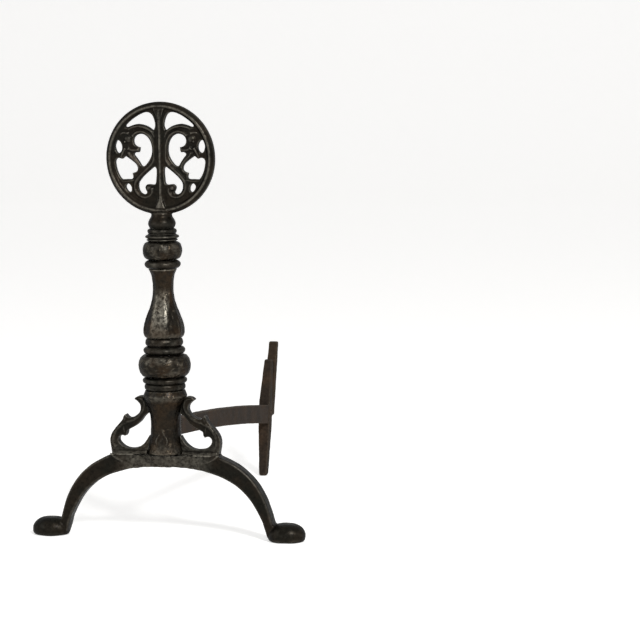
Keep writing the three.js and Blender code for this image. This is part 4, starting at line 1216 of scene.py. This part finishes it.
@dataclass
class ForgedRear:
    """Billet bar, rear leg and tail, drawn under the hammer."""

    nodes: tuple[str, ...] = ("billet_bar", "rear_leg", "tail_stop")
    voxel: float = 1.0
    smoothing: int = 9
    bar_end: float = 520.8  # the bar's end on the leg, at the floor along the lean
    lean: float = 0.18
    bar_middle: float = 95.7  # height of the bar's middle at the leg
    flare_length: float = 6.0
    flare_rise: float = 2.8  # added above and below at the leg
    flare_widening: float = 0.09

    def flare(self, bm: bmesh.types.BMesh) -> None:
        """Upsets the bar's end to the leg's width, with the tight fillets of a forged shoulder.

        Args:
            bm: The bar, in millimetres.
        """
        for vert in bm.verts:
            off = self.bar_end - (vert.co.y - self.lean * vert.co.z)
            if 0 <= off < self.flare_length:
                swell = (1 - off / self.flare_length) ** 2
                vert.co.z += math.copysign(self.flare_rise * swell, vert.co.z - self.bar_middle)
                vert.co.x *= 1 + self.flare_widening * swell

    def build(self, workshop: Workshop) -> None:
        """Forges each part on a copy of its solid, with drawn edges and uneven faces.

        Args:
            workshop: Where the pieces go.
        """
        for node in self.nodes:
            skin = fused(of_solid(workshop.nodes[node]), self.voxel, self.smoothing)
            worked(skin, depth=0.4, size=24, strokes=0.35, stroke=(14.0, 26.0, 9.0))
            if node == "billet_bar":
                self.flare(skin)
            for vert in skin.verts:
                vert.co.z = max(vert.co.z, 0.0)
            workshop.install(skin, node, Surface.FORGED)


@dataclass
class Fasteners:
    """Tie rod, washer, nut, screws and rivets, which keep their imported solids."""

    steel: tuple[str, ...] = ("tie_rod", "tie_washer", "tie_nut", "bracket_screw_left", "bracket_screw_right")
    iron: tuple[str, ...] = ("leg_rivet", "tail_rivet")

    def build(self, workshop: Workshop) -> None:
        """Dresses the carried-over solids.

        Args:
            workshop: Where they are.
        """
        for names, surface in ((self.steel, Surface.BLACKENED), (self.iron, Surface.FORGED)):
            for name in names:
                workshop.finishes.dress(workshop.nodes[name], surface)
                LOG.info("%s: carried over", name)


# ---------------------------------------------------------------- studio


@dataclass(frozen=True)
class PhotoCamera:
    """The photograph's camera, fitted to the andiron's outline."""

    position: Point3 = (1124.3, -3721.0, 739.0)
    yaw: float = -13.6  # degrees, as are the next two
    pitch: float = 6.38
    roll: float = -0.78
    focal_px: float = 2800.0
    frame_px: float = 640.0
    sensor_mm: float = 36.0

    def build(self) -> None:
        """Makes the camera and sets it as the scene's."""
        yaw, pitch, roll = (math.radians(angle) for angle in (self.yaw, self.pitch, self.roll))
        level = Vector((math.sin(yaw), math.cos(yaw), 0))
        right = Vector((math.cos(yaw), -math.sin(yaw), 0))
        ahead = level * math.cos(pitch) - Vector((0, 0, math.sin(pitch)))
        above = level * math.sin(pitch) + Vector((0, 0, math.cos(pitch)))
        across = right * math.cos(roll) + above * math.sin(roll)
        upward = above * math.cos(roll) - right * math.sin(roll)
        lens = bpy.data.cameras.new("photo_camera")
        lens.sensor_width = self.sensor_mm
        lens.lens = self.focal_px * lens.sensor_width / self.frame_px
        lens.clip_end = 100.0
        made = bpy.data.objects.new("photo_camera", lens)
        turn = Matrix((across, upward, -ahead)).transposed().to_4x4()
        made.matrix_world = Matrix.Translation(TO_FRAME @ Vector(self.position)) @ turn
        bpy.context.scene.collection.objects.link(made)
        bpy.context.scene.camera = made


@dataclass(frozen=True)
class Studio:
    """A pale sweep, a soft key light above the camera's right and a weak fill; lengths are metres."""

    floor_colour: str = "#f4f3f1"
    floor_ends: Point2 = (-8.0, 6.0)
    half_width: float = 10.0
    turn_radius: float = 2.0  # floor to wall
    wall_top: float = 7.0
    lift: float = 0.5
    ambient: float = 0.4
    aim_height: float = 0.3
    key: Point3 = (1.9, -2.9, 2.4)
    key_watts: float = 105.0
    key_size: float = 0.6
    fill: Point3 = (-2.4, -2.2, 1.2)
    fill_watts: float = 18.0
    fill_size: float = 1.6

    def sweep(self) -> None:
        """Makes the floor and the wall behind it in one curve."""
        bm = bmesh.new()
        front, back = self.floor_ends
        run, steps = [(front, 0.0), (back, 0.0)], 16
        for i in range(1, steps + 1):
            angle = math.pi / 2 * i / steps
            run.append((back + self.turn_radius * math.sin(angle), self.turn_radius * (1 - math.cos(angle))))
        run.append((back + self.turn_radius, self.wall_top))
        verts = [bm.verts.new((-self.half_width, y, z)) for y, z in run]
        edges = [bm.edges.new(pair) for pair in zip(verts, verts[1:])]
        grown = bmesh.ops.extrude_edge_only(bm, edges=edges)["geom"]
        moved = [item for item in grown if isinstance(item, bmesh.types.BMVert)]
        bmesh.ops.translate(bm, verts=moved, vec=(2 * self.half_width, 0, 0))
        made = object_of("studio_sweep", bm)
        made.data.shade_smooth()
        made.data.materials.append(self.paper())

    @staticmethod
    def seen(tree: bpy.types.NodeTree) -> bpy.types.NodeSocket:
        """Tells rays that see a thing from the light that falls on it.

        Args:
            tree: The material's or the world's node tree.

        Returns:
            One for rays from the camera or from a shiny surface, else nought.
        """
        rays = add_node(tree, "ShaderNodeLightPath").outputs
        shiny = add_node(tree, "ShaderNodeMath", {
            0: rays["Is Glossy Ray"], 1: rays["Is Transmission Ray"],
        }, operation="MAXIMUM").outputs[0]
        return add_node(tree, "ShaderNodeMath", {
            0: rays["Is Camera Ray"], 1: shiny,
        }, operation="MAXIMUM").outputs[0]

    def paper(self) -> bpy.types.Material:
        """Makes matte white paper, lifted to white where it is seen, so that only the shadow stays on it.

        Returns:
            The material.
        """
        made = bpy.data.materials.new("matte_paper")
        made.use_nodes = True
        tree = made.node_tree
        lift = add_node(tree, "ShaderNodeMath", {
            0: self.seen(tree), 1: self.lift,
        }, operation="MULTIPLY").outputs[0]
        shader = tree.nodes["Principled BSDF"]
        shader.inputs["Base Color"].default_value = linear(self.floor_colour)
        shader.inputs["Roughness"].default_value = 0.9
        shader.inputs["Emission Color"].default_value = (1, 1, 1, 1)
        tree.links.new(lift, shader.inputs["Emission Strength"])
        return made

    def lamp(self, name: str, place: Point3, watts: float, size: float) -> None:
        """Hangs one square area light aimed at the andiron's middle.

        Args:
            name: The light's name.
            place: Where it hangs, in metres.
            watts: Its power.
            size: Side of the square, in metres.
        """
        light = bpy.data.lights.new(name, "AREA")
        light.energy = watts
        light.size = size
        made = bpy.data.objects.new(name, light)
        made.location = place
        aim = Vector((0, COLUMN_Y_MM * MM, self.aim_height)) - Vector(place)
        made.rotation_euler = aim.to_track_quat("-Z", "Y").to_euler()
        bpy.context.scene.collection.objects.link(made)

    def build(self) -> None:
        """Lights the scene."""
        self.sweep()
        self.lamp("key", self.key, self.key_watts, self.key_size)
        self.lamp("fill", self.fill, self.fill_watts, self.fill_size)
        world = bpy.data.worlds.new("studio")
        world.use_nodes = True
        strength = add_node(world.node_tree, "ShaderNodeMapRange", {
            "Value": self.seen(world.node_tree), "To Min": self.ambient, "To Max": 1.0,
        }).outputs[0]
        backdrop = world.node_tree.nodes["Background"]
        backdrop.inputs["Color"].default_value = (1, 1, 1, 1)
        world.node_tree.links.new(strength, backdrop.inputs["Strength"])
        bpy.context.scene.world = world
        bpy.context.scene.view_settings.view_transform = "Standard"


def main() -> None:
    """Builds the dressed andiron in its studio."""
    logging.basicConfig(level=logging.INFO, format="%(message)s")
    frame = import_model()
    PhotoCamera().build()
    Studio().build()
    workshop = Workshop(frame["nodes"], Finishes())
    ArchCasting().build(workshop)
    foot = Column().build(workshop)
    ScrollBrackets().build(workshop)
    Roundel().build(workshop, foot)
    ForgedRear().build(workshop)
    Fasteners().build(workshop)


if __name__ == "__main__":
    main()
